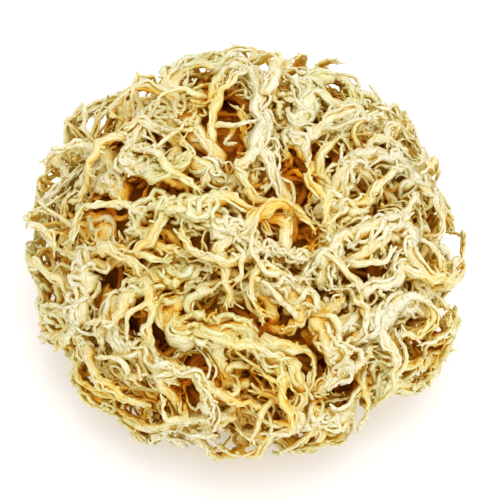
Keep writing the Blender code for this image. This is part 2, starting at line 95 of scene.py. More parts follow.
# The direction from which the routes of the fronds were laid out: from the front, looking down this steeply,
# and how often a line of sight is carried on to the uneven outline
LOOK_DOWN = math.radians(60)
FORWARD = np.array([0.0, math.cos(LOOK_DOWN), -math.sin(LOOK_DOWN)])
UPWARD = np.array([0.0, math.sin(LOOK_DOWN), math.cos(LOOK_DOWN)])
SIGHT_ROUNDS = 3

# Strands, from the thick axis to the thin branchlet
AXIS_RADIUS = 0.0038
AXIS_END_RADIUS = 0.0016
AXIS_STEP = 0.0085
BRANCH_RADIUS = 0.0021
BRANCH_END_RADIUS = 0.0009
BRANCH_STEP = 0.0077
BRANCH_STEPS = 5
BRANCH_DIVE = 0.008
BRANCHLET_RADIUS = 0.0013
BRANCHLET_END_RADIUS = 0.0006
BRANCHLET_STEP = 0.0068
BRANCHLET_STEPS = 3
BRANCHLET_DIVE = 0.002
BRANCHES_PER_FROND = 8
BRANCHLETS_PER_FROND = 4
HEART_BRANCHES = 18

# Clear space between two fronds, and how far a strand may sink into the table's plane before it is cut flat
GAP = 0.0005
TABLE_SINK = 0.45

# Tries for one strand, of which the one with most room is kept, and the parts in which a segment is tested
TRIES = 7
PARTS = 4

# Turn between neighbours that spreads points evenly over a ball, a way that none of them lies along, and the
# steps between two stops of a route
GOLDEN = math.pi * (3 - math.sqrt(5))
ASKEW = (0.3, 0.5, 0.8)
ROUTE_STEPS = 24

# How an axis is laid: its wobble, how its width falls off and varies, and how it is pushed clear of others
AXIS_WOBBLE = 0.0007
AXIS_TAPER = 1.5
AXIS_WIDTHS = (0.88, 1.12)
PUSH_ROUNDS = 60
PUSH_SHARE = 0.6

# How a side strand is laid: the angle at which it forks off, how it rises, curls and strays, how it steers
# for its depth and back along the outline, how its steps and widths vary, and what its free room is worth
FORK_ANGLES = (35, 95)
FORK_RISE = (-0.15, 0.55)
FORK_CURL = 0.42
FORK_CURL_STRAY = 0.25
FORK_STRAY = 0.12
LEAST_DIVE = -0.001
LIFT_GAIN = 120
LIFT_MOST = 1.2
LIFT_SHARE = 0.5
LEVEL_BACK = 0.25
FORK_VARIES = (0.85, 1.15)
FORK_TAPER = 1.3
SPARE_MOST = 0.004
LEAST_WORTH = 0.2

# How an arch is laid: its width at the foot and how much more there is at the top, how it strays, and how far
# its feet reach into the core
ARCH_WIDTHS = (0.7, 0.3)
ARCH_STRAY = 0.07
ARCH_FOOT = 0.9

# Each frond: a name, which side of the clump it lies on (near faces the front and top, far the back and
# bottom), and its route in millimetres as (right, up, below the outline), seen along LOOK_DOWN
ROUTES = {
    "frond_crest": ("near", [
        (-8, 30, 14), (-20, 48, 8), (-26, 62, 0), (-13, 71, -1), (0, 64, 0), (8, 48, 1), (6, 32, 1),
        (13, 17, 2), (18, 5, 6),
    ]),
    "frond_left_arch": ("near", [
        (-24, 44, 12), (-31, 52, 5), (-39, 41, 1), (-42, 29, 0), (-33, 26, 0), (-20, 29, 1), (-9, 22, 2),
        (-2, 15, 8),
    ]),
    "frond_middle": ("near", [
        (-44, 2, 13), (-38, 11, 4), (-25, 14, 0), (-11, 9, 0), (1, 3, 0), (12, -3, 0), (22, -5, 1),
    ]),
    "frond_right_hook": ("near", [
        (28, -14, 14), (30, -3, 5), (42, 5, 0), (52, 8, -1), (57, -1, 0), (50, -12, 0), (39, -19, 2),
        (33, -27, 9),
    ]),
    "frond_right_fan": ("near", [
        (24, 12, 14), (29, 15, 5), (34, 27, 0), (43, 32, 0), (54, 29, 0), (65, 23, 0), (72, 14, 0),
        (76, 5, 0),
    ]),
    "frond_top_loop": ("near", [
        (22, 32, 14), (20, 44, 4), (22, 57, 0), (31, 64, -1), (40, 55, 0), (36, 44, 2), (26, 41, 8),
    ]),
    "frond_right_shoulder": ("near", [
        (48, 36, 14), (45, 48, 4), (53, 50, 1), (61, 42, 1), (67, 31, 1),
    ]),
    "frond_right_low": ("near", [
        (20, -30, 14), (30, -34, 3), (38, -27, 0), (48, -24, 0), (60, -18, 0), (70, -11, 0), (78, -5, 0),
    ]),
    "frond_right_rim": ("near", [
        (36, -38, 14), (47, -46, 3), (57, -52, 0), (67, -45, 0), (74, -34, 0), (76, -22, 0),
    ]),
    "frond_front": ("near", [
        (-22, -18, 12), (-30, -23, 3), (-18, -30, 0), (-5, -27, 0), (7, -36, 0), (19, -47, 0), (16, -60, 0),
        (3, -70, 0),
    ]),
    "frond_ring": ("near", [
        (-16, -6, 13), (-28, -9, 4), (-39, -15, 0), (-46, -25, 0), (-42, -36, 0), (-30, -41, 0),
        (-18, -46, 0), (-12, -58, 0), (-18, -71, 0),
    ]),
    "frond_left": ("near", [
        (-50, -14, 14), (-62, -27, 4), (-73, -22, 0), (-76, -8, 0), (-75, 7, 0), (-70, 20, 0), (-60, 30, 3),
    ]),
    "frond_left_inner": ("near", [
        (-60, 12, 14), (-52, 4, 5), (-58, -6, 1), (-55, -18, 0), (-58, -30, 0), (-50, -42, 0), (-38, -50, 1),
    ]),
    "frond_lower_middle": ("near", [
        (2, -12, 13), (9, -17, 4), (20, -19, 1), (26, -29, 0), (33, -38, 1), (28, -48, 1), (31, -58, 4),
    ]),
    "frond_left_top": ("near", [
        (-44, 18, 14), (-52, 28, 8), (-65, 38, 0), (-57, 50, 0), (-46, 57, 0), (-36, 65, 1),
    ]),
    "frond_left_foot": ("near", [
        (-50, -34, 10), (-60, -41, 1), (-57, -53, 0), (-46, -61, 0), (-35, -70, 0), (-26, -66, 2),
    ]),
    "frond_right_foot": ("near", [
        (20, -58, 12), (30, -56, 2), (37, -59, 0), (32, -68, 0), (21, -72, 0), (10, -72, 2),
    ]),
    "frond_back_left": ("far", [
        (-40, 30, 14), (-58, 30, 4), (-66, 14, 1), (-52, 8, 0), (-42, 26, 0), (-38, 44, 0), (-28, 58, 2),
    ]),
    "frond_back": ("far", [
        (-22, 28, 14), (-24, 46, 2), (-12, 60, 0), (2, 62, 0), (8, 46, 0), (-4, 32, 1), (-16, 20, 4),
    ]),
    "frond_back_right": ("far", [
        (30, 24, 14), (20, 38, 3), (28, 54, 0), (42, 50, 0), (52, 36, 0), (40, 26, 1), (28, 14, 4),
    ]),
    "frond_back_far_right": ("far", [
        (52, 8, 14), (64, 18, 4), (70, 2, 1), (60, -12, 0), (48, -4, 0), (44, 12, 4),
    ]),
    "frond_under_front": ("far", [
        (-32, -42, 8), (-19, -50, 2), (-4, -45, 0), (9, -51, 0), (21, -50, 0), (36, -42, 1),
    ]),
    "frond_under_left": ("far", [
        (-56, -18, 10), (-44, -8, 2), (-30, 2, 0), (-18, -8, 0), (-26, -24, 0), (-40, -30, 0),
    ]),
    "frond_under_right": ("far", [
        (44, -26, 10), (32, -14, 2), (18, -2, 0), (4, -10, 0), (8, -26, 0), (24, -36, 0),
    ]),
}
SEED = 7


def unit(vector):
    return vector / max(np.linalg.norm(vector), 1e-12)


def turned(vector, axis, angle):
    """The vector turned by the right-hand rule about a unit axis."""
    across = np.cross(axis, vector)
    kept = axis * (axis @ vector) * (1 - math.cos(angle))
    return vector * math.cos(angle) + across * math.sin(angle) + kept


def lobed(ways):
    """By what factor the outline lies further out than the ellipsoid, along ways in its own measures."""
    ways = ways / np.maximum(np.linalg.norm(ways, axis=-1, keepdims=True), 1e-12)
    return 1 + np.exp(2 * (ways @ LOBE_WAYS.T - 1) / LOBE_SPREADS**2) @ LOBE_RISES


def share_of(points):
    """Where points lie between the clump's middle (0) and its outline (1)."""
    offset = (points - OUTLINE_MIDDLE) / OUTLINE_HALF
    return np.linalg.norm(offset, axis=-1) / lobed(offset)


def outward(point):
    """The outline's outward normal at the point of it that is nearest in direction."""
    return unit((point - OUTLINE_MIDDLE) / OUTLINE_HALF**2)


def depth_of(point):
    """How far a point lies below the outline; it is negative outside."""
    share = share_of(point)
    slope = np.linalg.norm((point - OUTLINE_MIDDLE) / OUTLINE_HALF**2) / max(share, 1e-9)
    return (1 - share) / max(slope, 1e-9)


def on_ellipsoid(side, right, up):
    """What a viewer sees at (right, up) of the plain ellipsoid's near or far side, from its middle."""
    start = np.array([right, 0.0, 0.0]) + up * UPWARD
    a = np.sum((FORWARD / OUTLINE_HALF) ** 2)
    b = np.sum(start * FORWARD / OUTLINE_HALF**2)
    c = np.sum((start / OUTLINE_HALF) ** 2) - 1
    reach = math.sqrt(max(b * b - a * c, 0.0))
    travel = (-b - reach if side == "near" else -b + reach) / a
    return start + travel * FORWARD


def seen_at(side, right, up, sink):
    """The point seen at (right, up) on the near or the far side of the outline, sunk below it."""
    factor = 1.0
    for _ in range(SIGHT_ROUNDS):
        offset = factor * on_ellipsoid(side, right / factor, up / factor)
        factor = lobed(offset / OUTLINE_HALF)
    point = OUTLINE_MIDDLE + offset
    return point - sink * outward(point)


LOBE_PLACES = [on_ellipsoid(side, MILLIMETRE * right, MILLIMETRE * up) for side, right, up, _, _ in LOBES]
LOBE_WAYS = np.array([unit(place / OUTLINE_HALF) for place in LOBE_PLACES])
LOBE_RISES = np.array([lobe[3] for lobe in LOBES])
LOBE_SPREADS = np.radians([lobe[4] for lobe in LOBES])


def smooth_route(waypoints, step):
    """Points a step apart on the Catmull-Rom curve through the waypoints."""
    ends = [2 * waypoints[0] - waypoints[1], *waypoints, 2 * waypoints[-1] - waypoints[-2]]
    fine = []
    for p0, p1, p2, p3 in zip(ends, ends[1:], ends[2:], ends[3:]):
        for t in np.linspace(0, 1, ROUTE_STEPS, endpoint=False):
            bend = (2 * p0 - 5 * p1 + 4 * p2 - p3) * t**2 + (3 * p1 - p0 - 3 * p2 + p3) * t**3
            fine.append(0.5 * (2 * p1 + (p2 - p0) * t + bend))
    fine = np.array([*fine, waypoints[-1]])
    travelled = np.concatenate([[0], np.cumsum(np.linalg.norm(np.diff(fine, axis=0), axis=1))])
    count = max(3, round(travelled[-1] / step) + 1)
    marks = np.linspace(0, travelled[-1], count)
    return np.column_stack([np.interp(marks, travelled, fine[:, k]) for k in range(3)])


class Strand:
    """One stretch of seaweed: its centreline, its radii, its frond and its rank (0 axis, 2 finest)."""

    def __init__(self, points, radii, frond, rank):
        self.points = np.array(points)
        self.radii = np.array(radii)
        self.frond = frond
        self.rank = rank


class Tangle:
    """All strands laid so far, which a new one keeps clear of."""

    def __init__(self):
        self.strands = []
        self.starts = np.zeros((0, 3))
        self.spans = np.zeros((0, 3))
        self.thick = np.zeros(0)
        self.owner = np.zeros(0, int)

    def add(self, strand):
        self.strands.append(strand)
        self.starts = np.vstack([self.starts, strand.points[:-1]])
        self.spans = np.vstack([self.spans, np.diff(strand.points, axis=0)])
        self.thick = np.append(self.thick, np.maximum(strand.radii[:-1], strand.radii[1:]))
        self.owner = np.append(self.owner, np.full(len(strand.points) - 1, strand.frond))

    def away(self, points, mine):
        """For each point, the gap to the nearest of the segments in mine, and the way from it."""
        starts, spans, thick = self.starts[mine], self.spans[mine], self.thick[mine]
        if not len(starts):
            return np.full(len(points), 1.0), np.zeros((len(points), 3))
        offset = points[:, None] - starts
        along = np.clip(np.sum(offset * spans, 2) / np.sum(spans * spans, 1), 0, 1)
        apart = offset - along[..., None] * spans
        gaps = np.linalg.norm(apart, axis=2) - thick
        best = gaps.argmin(1)
        rows = np.arange(len(points))
        return gaps[rows, best], apart[rows, best]

    def room(self, points, radii, frond):
        """The gaps of a strand's points to other fronds and to the heart, and those to its own frond."""
        others, _ = self.away(points, self.owner != frond)
        own, _ = self.away(points, self.owner == frond)
        heart = (share_of(points) - CORE_SHARE) * OUTLINE_HALF.min() if frond != HEART else 1.0
        return np.minimum(others, heart) - radii, own - radii


HEART = len(ROUTES)


def between(points, radii):
    """The points and three more between each two, each with its radius, for testing whole segments."""
    parts = [points[:-1] + np.diff(points, axis=0) * k / PARTS for k in range(PARTS)]
    wide = [np.maximum(radii[:-1], radii[1:])] * PARTS
    return np.vstack([*parts, points[-1:]]), np.append(np.concatenate(wide), radii[-1])


def on_table(points, radii):
    """Lifts points that would lie below the table, so that a strand there is only cut flat underneath."""
    points[..., 2] = np.maximum(points[..., 2], np.asarray(radii) * (1 - TABLE_SINK))
    return points


def lay_axis(tangle, number, side, route, rng):
    """The frond's axis along its route, bent clear of the axes that lie there already."""
    waypoints = [seen_at(side, *(MILLIMETRE * value for value in stop)) for stop in route]
    points = smooth_route(waypoints, AXIS_STEP)
    points[1:-1] += rng.normal(0, AXIS_WOBBLE, (len(points) - 2, 3))
    share = np.linspace(0, 1, len(points))
    radii = AXIS_RADIUS + (AXIS_END_RADIUS - AXIS_RADIUS) * share**AXIS_TAPER
    radii *= rng.uniform(*AXIS_WIDTHS, len(points))
    others = tangle.owner != number
    for _ in range(PUSH_ROUNDS):
        middles = (points[1:] + points[:-1]) / 2
        moved = np.zeros_like(points)
        for part, wide, first in ((points, radii, 0), (middles, np.maximum(radii[1:], radii[:-1]), 1)):
            gap, way = tangle.away(part, others)
            heart = (share_of(part) - CORE_SHARE) * OUTLINE_HALF.min() - wide
            push = np.maximum(2 * GAP + wide - gap, 0)[:, None] * way
            push /= np.maximum(np.linalg.norm(way, axis=1), 1e-9)[:, None]
            out = np.array([outward(p) for p in part]) * np.maximum(2 * GAP - heart, 0)[:, None]
            if first:
                moved[1:] += (push + out) / 2
                moved[:-1] += (push + out) / 2
            else:
                moved += push + out
        if not moved.any():
            break
        points = on_table(points + PUSH_SHARE * moved, radii)
    return Strand(on_table(points, radii), radii, number, 0)


def sprout(tangle, parent, place, side_sign, rng, plan):
    """The best of several tries at a side strand that leaves its parent at a place; None if nothing fits."""
    steps, step, radius, end_radius, dive = plan
    here = parent.points[place]
    along = unit(parent.points[min(place + 1, len(parent.points) - 1)] - parent.points[max(place - 1, 0)])
    best, best_score = None, 0.0
    for _ in range(TRIES):
        normal = outward(here)
        angle = math.radians(rng.uniform(*FORK_ANGLES))
        heading = along * math.cos(angle) + np.cross(normal, along) * side_sign * math.sin(angle)
        heading = unit(heading + normal * rng.uniform(*FORK_RISE))
        curl = rng.normal(0, FORK_CURL)
        wanted = rng.uniform(LEAST_DIVE, dive)
        points = [here]
        for _ in range(steps):
            normal = outward(points[-1])
            heading = turned(heading, normal, curl + rng.normal(0, FORK_CURL_STRAY))
            lift = np.clip((depth_of(points[-1]) - wanted) * LIFT_GAIN, -LIFT_MOST, LIFT_MOST)
            steer = normal * (lift * LIFT_SHARE - LEVEL_BACK * (heading @ normal))
            heading = unit(heading + steer + rng.normal(0, FORK_STRAY, 3))
            points.append(points[-1] + heading * step * rng.uniform(*FORK_VARIES))
        share = np.linspace(0, 1, steps + 1)
        radii = radius + (end_radius - radius) * share**FORK_TAPER
        radii[1:-1] *= rng.uniform(*FORK_VARIES, steps - 1)
        points = on_table(np.array(points), radii)
        samples, wide = between(points, radii)
        clear, own = tangle.room(samples, wide, parent.frond)
        blocked = np.flatnonzero(clear[: PARTS * steps].reshape(PARTS, steps).min(0) < GAP)
        kept = blocked[0] if len(blocked) else steps
        if np.append(clear[:steps], clear[-1])[kept] < GAP:
            kept -= 1
        if kept < 2:
            continue
        spare = np.minimum(clear, SPARE_MOST)[:kept].mean() + np.clip(own, 0, SPARE_MOST)[1:kept].mean()
        score = kept * step * (LEAST_WORTH + spare / (2 * SPARE_MOST))
        if score > best_score:
            radii = radii[: kept + 1].copy()
            radii[-1] = end_radius
            best, best_score = Strand(points[: kept + 1], radii, parent.frond, parent.rank + 1), score
    return best


def grow_branches(tangle, parents, count, rng, plan):
    """Side strands spread evenly over the parents, left and right in turn."""
    grown = []
    places = [(parent, place) for parent in parents for place in range(1, len(parent.points) - 1)]
    marks = np.linspace(0, len(places) - 1, count)
    for turn, mark in enumerate(marks):
        parent, place = places[round(mark)]
        strand = sprout(tangle, parent, place, 1 if turn % 2 else -1, rng, plan)
        if strand:
            tangle.add(strand)
            grown.append(strand)
    return grown


BRANCH = (BRANCH_STEPS, BRANCH_STEP, BRANCH_RADIUS, BRANCH_END_RADIUS, BRANCH_DIVE)
BRANCHLET = (BRANCHLET_STEPS, BRANCHLET_STEP, BRANCHLET_RADIUS, BRANCHLET_END_RADIUS, BRANCHLET_DIVE)


def lay_arch(tangle, number, rng):
    """A strand that leaves the core, runs over it as high as the fronds' axes allow, and dives back in."""
    height = 1 - (2 * number + 1) / ARCHES
    flat = math.sqrt(1 - height * height)
    pole = np.array([flat * math.cos(GOLDEN * number), flat * math.sin(GOLDEN * number), height])
    aside = unit(np.cross(pole, ASKEW))
    angles = np.linspace(-ARCH_SPAN / 2, ARCH_SPAN / 2, ARCH_STEPS + 1)
    rise = np.sin(np.linspace(0, math.pi, ARCH_STEPS + 1))
    radii = ARCH_RADIUS * (ARCH_WIDTHS[0] + ARCH_WIDTHS[1] * rise)
    for top in ARCH_SHARES:
        best, best_room = None, GAP
        for turn in rng.uniform(0, math.pi, ARCH_TRIES):
            forth = turned(aside, pole, turn)
            ways = np.outer(np.cos(angles), pole) + np.outer(np.sin(angles), forth)
            ways += np.outer(rng.normal(0, ARCH_STRAY, ARCH_STEPS + 1), np.cross(pole, forth))
            ways /= np.linalg.norm(ways, axis=1)[:, None]
            foot = ARCH_FOOT * CORE_SHARE
            shares = foot + (top - foot) * rise
            shares *= lobed(ways)
            points = on_table(OUTLINE_MIDDLE + ways * OUTLINE_HALF * shares[:, None], radii)
            room = tangle.room(*between(points, radii), HEART)[0].min()
            if room > best_room:
                best, best_room = Strand(points, radii, HEART, 0), room
        if best:
            return best
    return None


def grow_clump():
    """The whole tangle: every frond's axis, then the heart's arches, then branches, then branchlets."""
    tangle = Tangle()
    for number, (side, route) in enumerate(ROUTES.values()):
        tangle.add(lay_axis(tangle, number, side, route, np.random.default_rng([SEED, number, 0])))
    axes = list(tangle.strands)
    for number in range(ARCHES):
        arch = lay_arch(tangle, number, np.random.default_rng([SEED, HEART, number]))
        if arch:
            tangle.add(arch)
    arches = tangle.strands[len(axes):]
    branches = {}
    for axis in axes:
        rng = np.random.default_rng([SEED, axis.frond, 1])
        branches[axis.frond] = grow_branches(tangle, [axis], BRANCHES_PER_FROND, rng, BRANCH)
    grow_branches(tangle, arches, HEART_BRANCHES, np.random.default_rng([SEED, HEART, ARCHES]), BRANCH)
    for axis in axes:
        rng = np.random.default_rng([SEED, axis.frond, 2])
        grow_branches(tangle, branches[axis.frond], BRANCHLETS_PER_FROND, rng, BRANCHLET)
    return tangle


def footprint_middle(tangle):
    """The middle of the clump's footprint, which the origin is moved to."""
    lows = np.min([(s.points - s.radii[:, None]).min(0) for s in tangle.strands], axis=0)
    highs = np.max([(s.points + s.radii[:, None]).max(0) for s in tangle.strands], axis=0)
    return np.array([(lows[0] + highs[0]) / 2, (lows[1] + highs[1]) / 2, 0.0])


# The looks. From here on each strand of the solids is drawn as a bundle, and finer strands grow between
LOOK_SEED = 2025

# Hollows that the eye reaches into, down to the heart, on each side of the clump: right, up and radius in
# millimetres, seen along LOOK_DOWN
HOLLOWS = {
    "near": (
        (-9, 42, 7.0), (-9, 49, 5.0), (-17, 35, 6.5), (-4, 33, 4.0), (23, 31, 5.0), (30, 28, 5.5),
        (16, 21, 6.0), (12, 13, 6.5), (5, 7, 5.0), (18, 3, 4.5), (-46, 11, 6.5), (-41, 17, 5.0),
        (-52, 7, 4.5), (-27, 17, 5.0), (-46, -14, 6.5), (-52, -7, 4.5), (-40, -20, 6.5), (-33, -27, 6.5),
        (-27, -30, 5.0), (9, -27, 6.0), (17, -32, 7.0), (27, -29, 6.0), (3, -24, 4.0), (21, -39, 7.0),
        (21, -50, 6.5), (20, -58, 5.0), (43, -11, 5.5), (-50, 42, 4.5), (-43, 36, 5.0), (-17, -49, 5.5),
        (-18, -65, 5.0), (37, -47, 5.0), (53, 6, 5.0), (47, 35, 4.5),
    ),
    "far": (
        (-52, 26, 6.0), (-30, 40, 5.5), (-10, 52, 5.5), (14, 44, 6.0), (36, 38, 5.0), (56, 22, 6.0),
        (60, 0, 5.0), (-62, 4, 5.5), (30, 60, 4.5), (-32, 62, 4.5),
    ),
}
HOLLOW_DEPTH = 0.013

# Gaps at the rim, right through the clump: right, up and radius in millimetres, seen along LOOK_DOWN
RIM_GAPS = (
    (11, 68, 6.5), (18, 67, 5), (4, 74, 4), (38, -61, 7), (31, -71, 6), (-59, 47, 5.5), (-60, -51, 5.5),
    (70, 20, 4.5), (72, -46, 5), (-9, -77, 4.5), (64, -1, 3.5), (71, -1, 4), (-40, 62, 4),
)

# Paler and darker places: right, up and radius in millimetres, seen along LOOK_DOWN, and how much browner;
# the darker ones are painted shade by the hollows and along the lower front
TONED_AND_SHADED_PLACES = (
    (68, -18, 18, -0.05), (28, 60, 15, -0.05), (-68, 14, 18, -0.05), (-12, 64, 14, -0.06),
    (-14, -18, 11, -0.10), (-30, 27, 8, -0.10), (58, 16, 9, -0.08), (-34, -50, 18, 0.06),
    (-12, -64, 12, 0.08), (20, -62, 12, 0.06), (10, 12, 10, 0.10), (-38, -22, 10, 0.12), (24, -36, 12, 0.12),
    (-16, 36, 9, 0.10), (-42, 6, 9, 0.08),
)

# How much browner each frond is than the others, in the order of the routes; the rest and the heart aren't
NEAR_TONES = (
    0.01, -0.02, 0.06, 0.05, 0.03, 0.00, -0.05, 0.02, -0.02, 0.04, 0.05, -0.03, 0.01, 0.07, -0.05, 0.00, 0.02,
)
FROND_TONES = np.zeros(HEART + 1)
FROND_TONES[: len(NEAR_TONES)] = NEAR_TONES

# How far a main strand makes finer ones run along with it, and how many of its rings tell its way
FLOW_REACH = 0.010
FLOW_EVERY = 4

# The cells in which strands look for free room, and those that tell how closely a spot is covered, over a box
# that is larger than the outline
ROOM_CELL = 0.0013
ROOM_REACH = 0.8
COVER_CELL = 0.0012
GRID_SHARE = 1.25

# How smooth lines are drawn: the step along them, how far waves spread, how blunt a tip is, how a crimp fades
# in and rises, how soon the top of a strand turns outward, and how far strands lean
FINE_STEP = 0.0004
WAVE_SPREAD = 0.6
BLUNT = 0.02
CRIMP_FADE = 1.5
CRIMP_RISE = 0.6
TURN_OUT = 0.3
LEAN = 0.6
SLOW_WAVES = 3

# How widths vary: by what share, and over how many rings
BAND_WAVES = (0.18, 5)
WOVEN_WAVES = (0.28, 3)
GROWN_WAVES = (0.26, 3)
MATTED_WAVES = (0.22, 3)
EDGE_WAVES = (0.38, 2)
THICK_WAVES = 0.12

# How much a strand widens at its root, and how soon that fades
BAND_FLARE = 0.5
FLARE_FADE = 9

# How each kind of strand in the solids is drawn: a flat band, as shares of the solid's radius, and finer
# strands woven round it, with how far out they run and how wide they are
BANDS = {
    "axis": dict(rings=56, corners=6, wide=1.10, thick=0.42, sharp=0.05,
                 woven=8, fine_rings=118, out=1.10, fine=0.29),
    "arch": dict(rings=30, corners=6, wide=0.80, thick=0.36, sharp=0.05,
                 woven=4, fine_rings=60, out=1.05, fine=0.33),
    "branch": dict(rings=20, corners=5, wide=1.00, thick=0.50, sharp=0.12,
                   woven=2, fine_rings=30, out=0.85, fine=0.46),
    "branchlet": dict(rings=16, corners=5, wide=0.95, thick=0.70, sharp=0.20, woven=0),
}
RANKS = ("axis", "branch", "branchlet")
BAND_CRIMP = (0.0042, 0.0014)
BAND_RIDGES = 0.12
BAND_TONES = 0.04
ROOT_SHARP = 0.03
# How much browner a band with woven strands round it is: painted shade in the grooves between them
GROOVE_SHADE = 0.18

# The woven strands: where round the band they begin, how they twist and wander, how far out they swing, how
# near the band they start, how they are crimped, and how their tones vary
TURNS = 6
TWIST = 2.0
TWIST_WAVES = 4
WANDER = 1.5
WANDER_RINGS = 6
SWING = (0.8, 0.5)
WOVEN_LIFT = 0.12
WOVEN_START = (12, 0.3)
WOVEN_SHARP = 0.06
WOVEN_CRIMP = (0.0025, 0.0011)
WOVEN_TONES = 0.07

# Ranks of the finer strands, after those of the solids, and what they have in common
SIDE_RANK = 3
CURL_RANK = 4
PRONG_RANK = 5
MATTED_RANK = 6
LEAST_WIDTH = 0.0007
FINE_CORNERS = 4
FINE_FLATNESS = 0.85

# How finer strands steer: towards their wanted depth, back along the outline, and at random
DEPTH_PULL = 150
DEPTH_PULL_MOST = 1.3
PULL_SHARE = 0.45
LEVEL_SHARE = 0.3
STEER_STRAY = 0.10
LENGTHS = (0.55, 1.4)
LEAST_TIGHTEN = -0.5

# Where finer strands may run: their first points lie in the parent, the rest clear of the core and the table,
# and a hollow costs them room; and the share of a strand's ends on which none roots
ROOT_POINTS = 2
CORE_CLEAR = 0.93
TABLE_CLEAR = 0.0006
HOLLOW_COST = 3.0
ROOT_MARGIN = 12

# How their widths are drawn, stay within the parent's and taper, and how their tones vary
WIDTH_DRAW = (-0.05, 0.30)
PARENT_SHARE = 0.95
TAPER_POWER = 1.1
GROWN_TONES = 0.06

# Side strands and curls, which grow in rounds, on strands of certain ranks
ROUND = 100
SIDE_PLAN = dict(
    rank=SIDE_RANK, number=900, on=(0, 1, 3), tries=5, angles=(15, 65), spin=0.24, tighten=0.8, stray=0.22,
    combed=0.4, sink=0.010, length=0.017, steps=8, depths=(-0.0005, 0.008), free=0.5, rings=21, wide=0.00168,
    taper=0.70, flare=0.5, thick=0.62, sharp=0.12, crimp=(0.0026, 0.0009),
)
CURL_PLAN = dict(
    rank=CURL_RANK, number=1600, on=(0, 1, 2, 3, 4), tries=4, angles=(20, 80), spin=0.42, tighten=0.8,
    stray=0.42, combed=0.12, sink=0.010, length=0.0110, steps=7, depths=(-0.0012, 0.0045), free=0.45,
    rings=14, wide=0.00130, taper=0.85, flare=0.4, thick=0.85, sharp=0.2, crimp=(0.0022, 0.0008),
)

# Fillers between the fronds, and strands matted over the heart; open ones keep out of the hollows
FILLER_PLAN = dict(
    number=640, spin=0.25, tighten=0.8, stray=0.20, combed=0.4, sink=0.006, length=0.018, steps=8,
    depths=(0.0020, 0.0065), shares=(0.88, 0.96), rings=18, wide=(0.0012, 0.0023), crimp=(0.0026, 0.0009),
    tone=0.0, open=True,
)
MATTED_PLAN = dict(
    number=440, spin=0.22, tighten=0.6, stray=0.14, combed=0.0, sink=0.0, length=0.034, steps=9,
    depths=(0.0090, 0.0125), shares=(0.76, 0.85), rings=20, wide=(0.0010, 0.0022), crimp=(0.0034, 0.0007),
    tone=0.02, open=False,
)
MATTED_SHARP = 0.1
MATTED_THICK = (0.0003, 0.4)
MATTED_TONES = 0.08

# Short prongs at the tips and nubs along the edges, and how both vary
PRONG_PLAN = dict(
    number=3700, on=(1, 2, 3, 4, 6), angles=(15, 50), length=0.0038, wide=0.00092, end=0.55, rings=4,
)
NUB_PLAN = dict(
    number=4700, on=(0, 1, 3, 4, 6), angles=(50, 100), length=0.0023, wide=0.00085, end=0.6, rings=3,
)
PRONG_LENGTHS = (0.5, 1.4)
PRONG_WIDTHS = (0.7, 1.4)
PRONG_RISE = (-0.15, 0.5)
PRONG_TURN = (-0.2, 0.8)
PRONG_BEND = 0.5
PRONG_PARENT_SHARE = 0.9
PRONG_TONE = -0.03


def units(vectors):
    return vectors / np.maximum(np.linalg.norm(vectors, axis=-1, keepdims=True), 1e-12)


def outward_of(points):
    """The outline's outward normals at many points."""
    return units((points - OUTLINE_MIDDLE) / OUTLINE_HALF**2)


def depths_of(points):
    """How far many points lie below the outline."""
    share = share_of(points)
    slope = np.linalg.norm((points - OUTLINE_MIDDLE) / OUTLINE_HALF**2, axis=-1) / np.maximum(share, 1e-6)
    return (1 - share) / np.maximum(slope, 1e-6)


def turned_about(vectors, axes, angles):
    """Each vector turned about its own unit axis."""
    cos, sin = np.cos(angles)[:, None], np.sin(angles)[:, None]
    along = np.sum(axes * vectors, 1, keepdims=True)
    return vectors * cos + np.cross(axes, vectors) * sin + axes * along * (1 - cos)


def seen_apart(points, place):
    """How far points are seen from a place's middle, as a share of its radius."""
    offset = points - OUTLINE_MIDDLE
    at_right, at_up, radius = (MILLIMETRE * value for value in place)
    return np.hypot(offset[..., 0] - at_right, offset @ UPWARD - at_up) / radius


def beside_hollow(points, widened=1.0):
    """How near points lie to the axis of a hollow on their side: 1 on it, 0 at its rim, or a widened rim."""
    near = (points - OUTLINE_MIDDLE) @ FORWARD < 0
    inside = np.zeros(points.shape[:-1])
    for side, hollows in HOLLOWS.items():
        for hollow in hollows:
            here = 1 - seen_apart(points, hollow) / widened
            inside = np.maximum(inside, here * (near == (side == "near")))
    return inside


def in_hollow(points):
    """Which points lie in the open space of a hollow or in a gap at the rim."""
    inside = (beside_hollow(points) > 0) & (depths_of(points) < HOLLOW_DEPTH)
    for gap in RIM_GAPS:
        inside |= seen_apart(points, gap) < 1
    return inside


def place_tones_and_shade(points):
    """How much browner points are by where they lie on the clump, with painted shade in the darker places."""
    return sum(tone * np.exp(-seen_apart(points, place) ** 2) for *place, tone in TONED_AND_SHADED_PLACES)


class Grid:
    """Cells over the clump's box that hold how much seaweed lies in each."""

    def __init__(self, cell):
        self.cell = cell
        self.low = OUTLINE_MIDDLE - OUTLINE_HALF * GRID_SHARE
        self.shape = np.ceil(2 * GRID_SHARE * OUTLINE_HALF / cell).astype(int) + 1
        self.full = np.zeros(self.shape.prod(), np.float32)

    def cells(self, points):
        index = np.clip(((points - self.low) / self.cell).astype(np.int32), 0, self.shape - 1)
        return (index[..., 0] * self.shape[1] + index[..., 1]) * self.shape[2] + index[..., 2]

    def fill(self, points):
        self.full[self.cells(points)] = 1

    def add(self, points, amounts):
        added = np.bincount(self.cells(points).ravel(), amounts.ravel(), len(self.full))
        self.full += added.astype(np.float32)

    def at(self, points):
        return self.full[self.cells(points)]


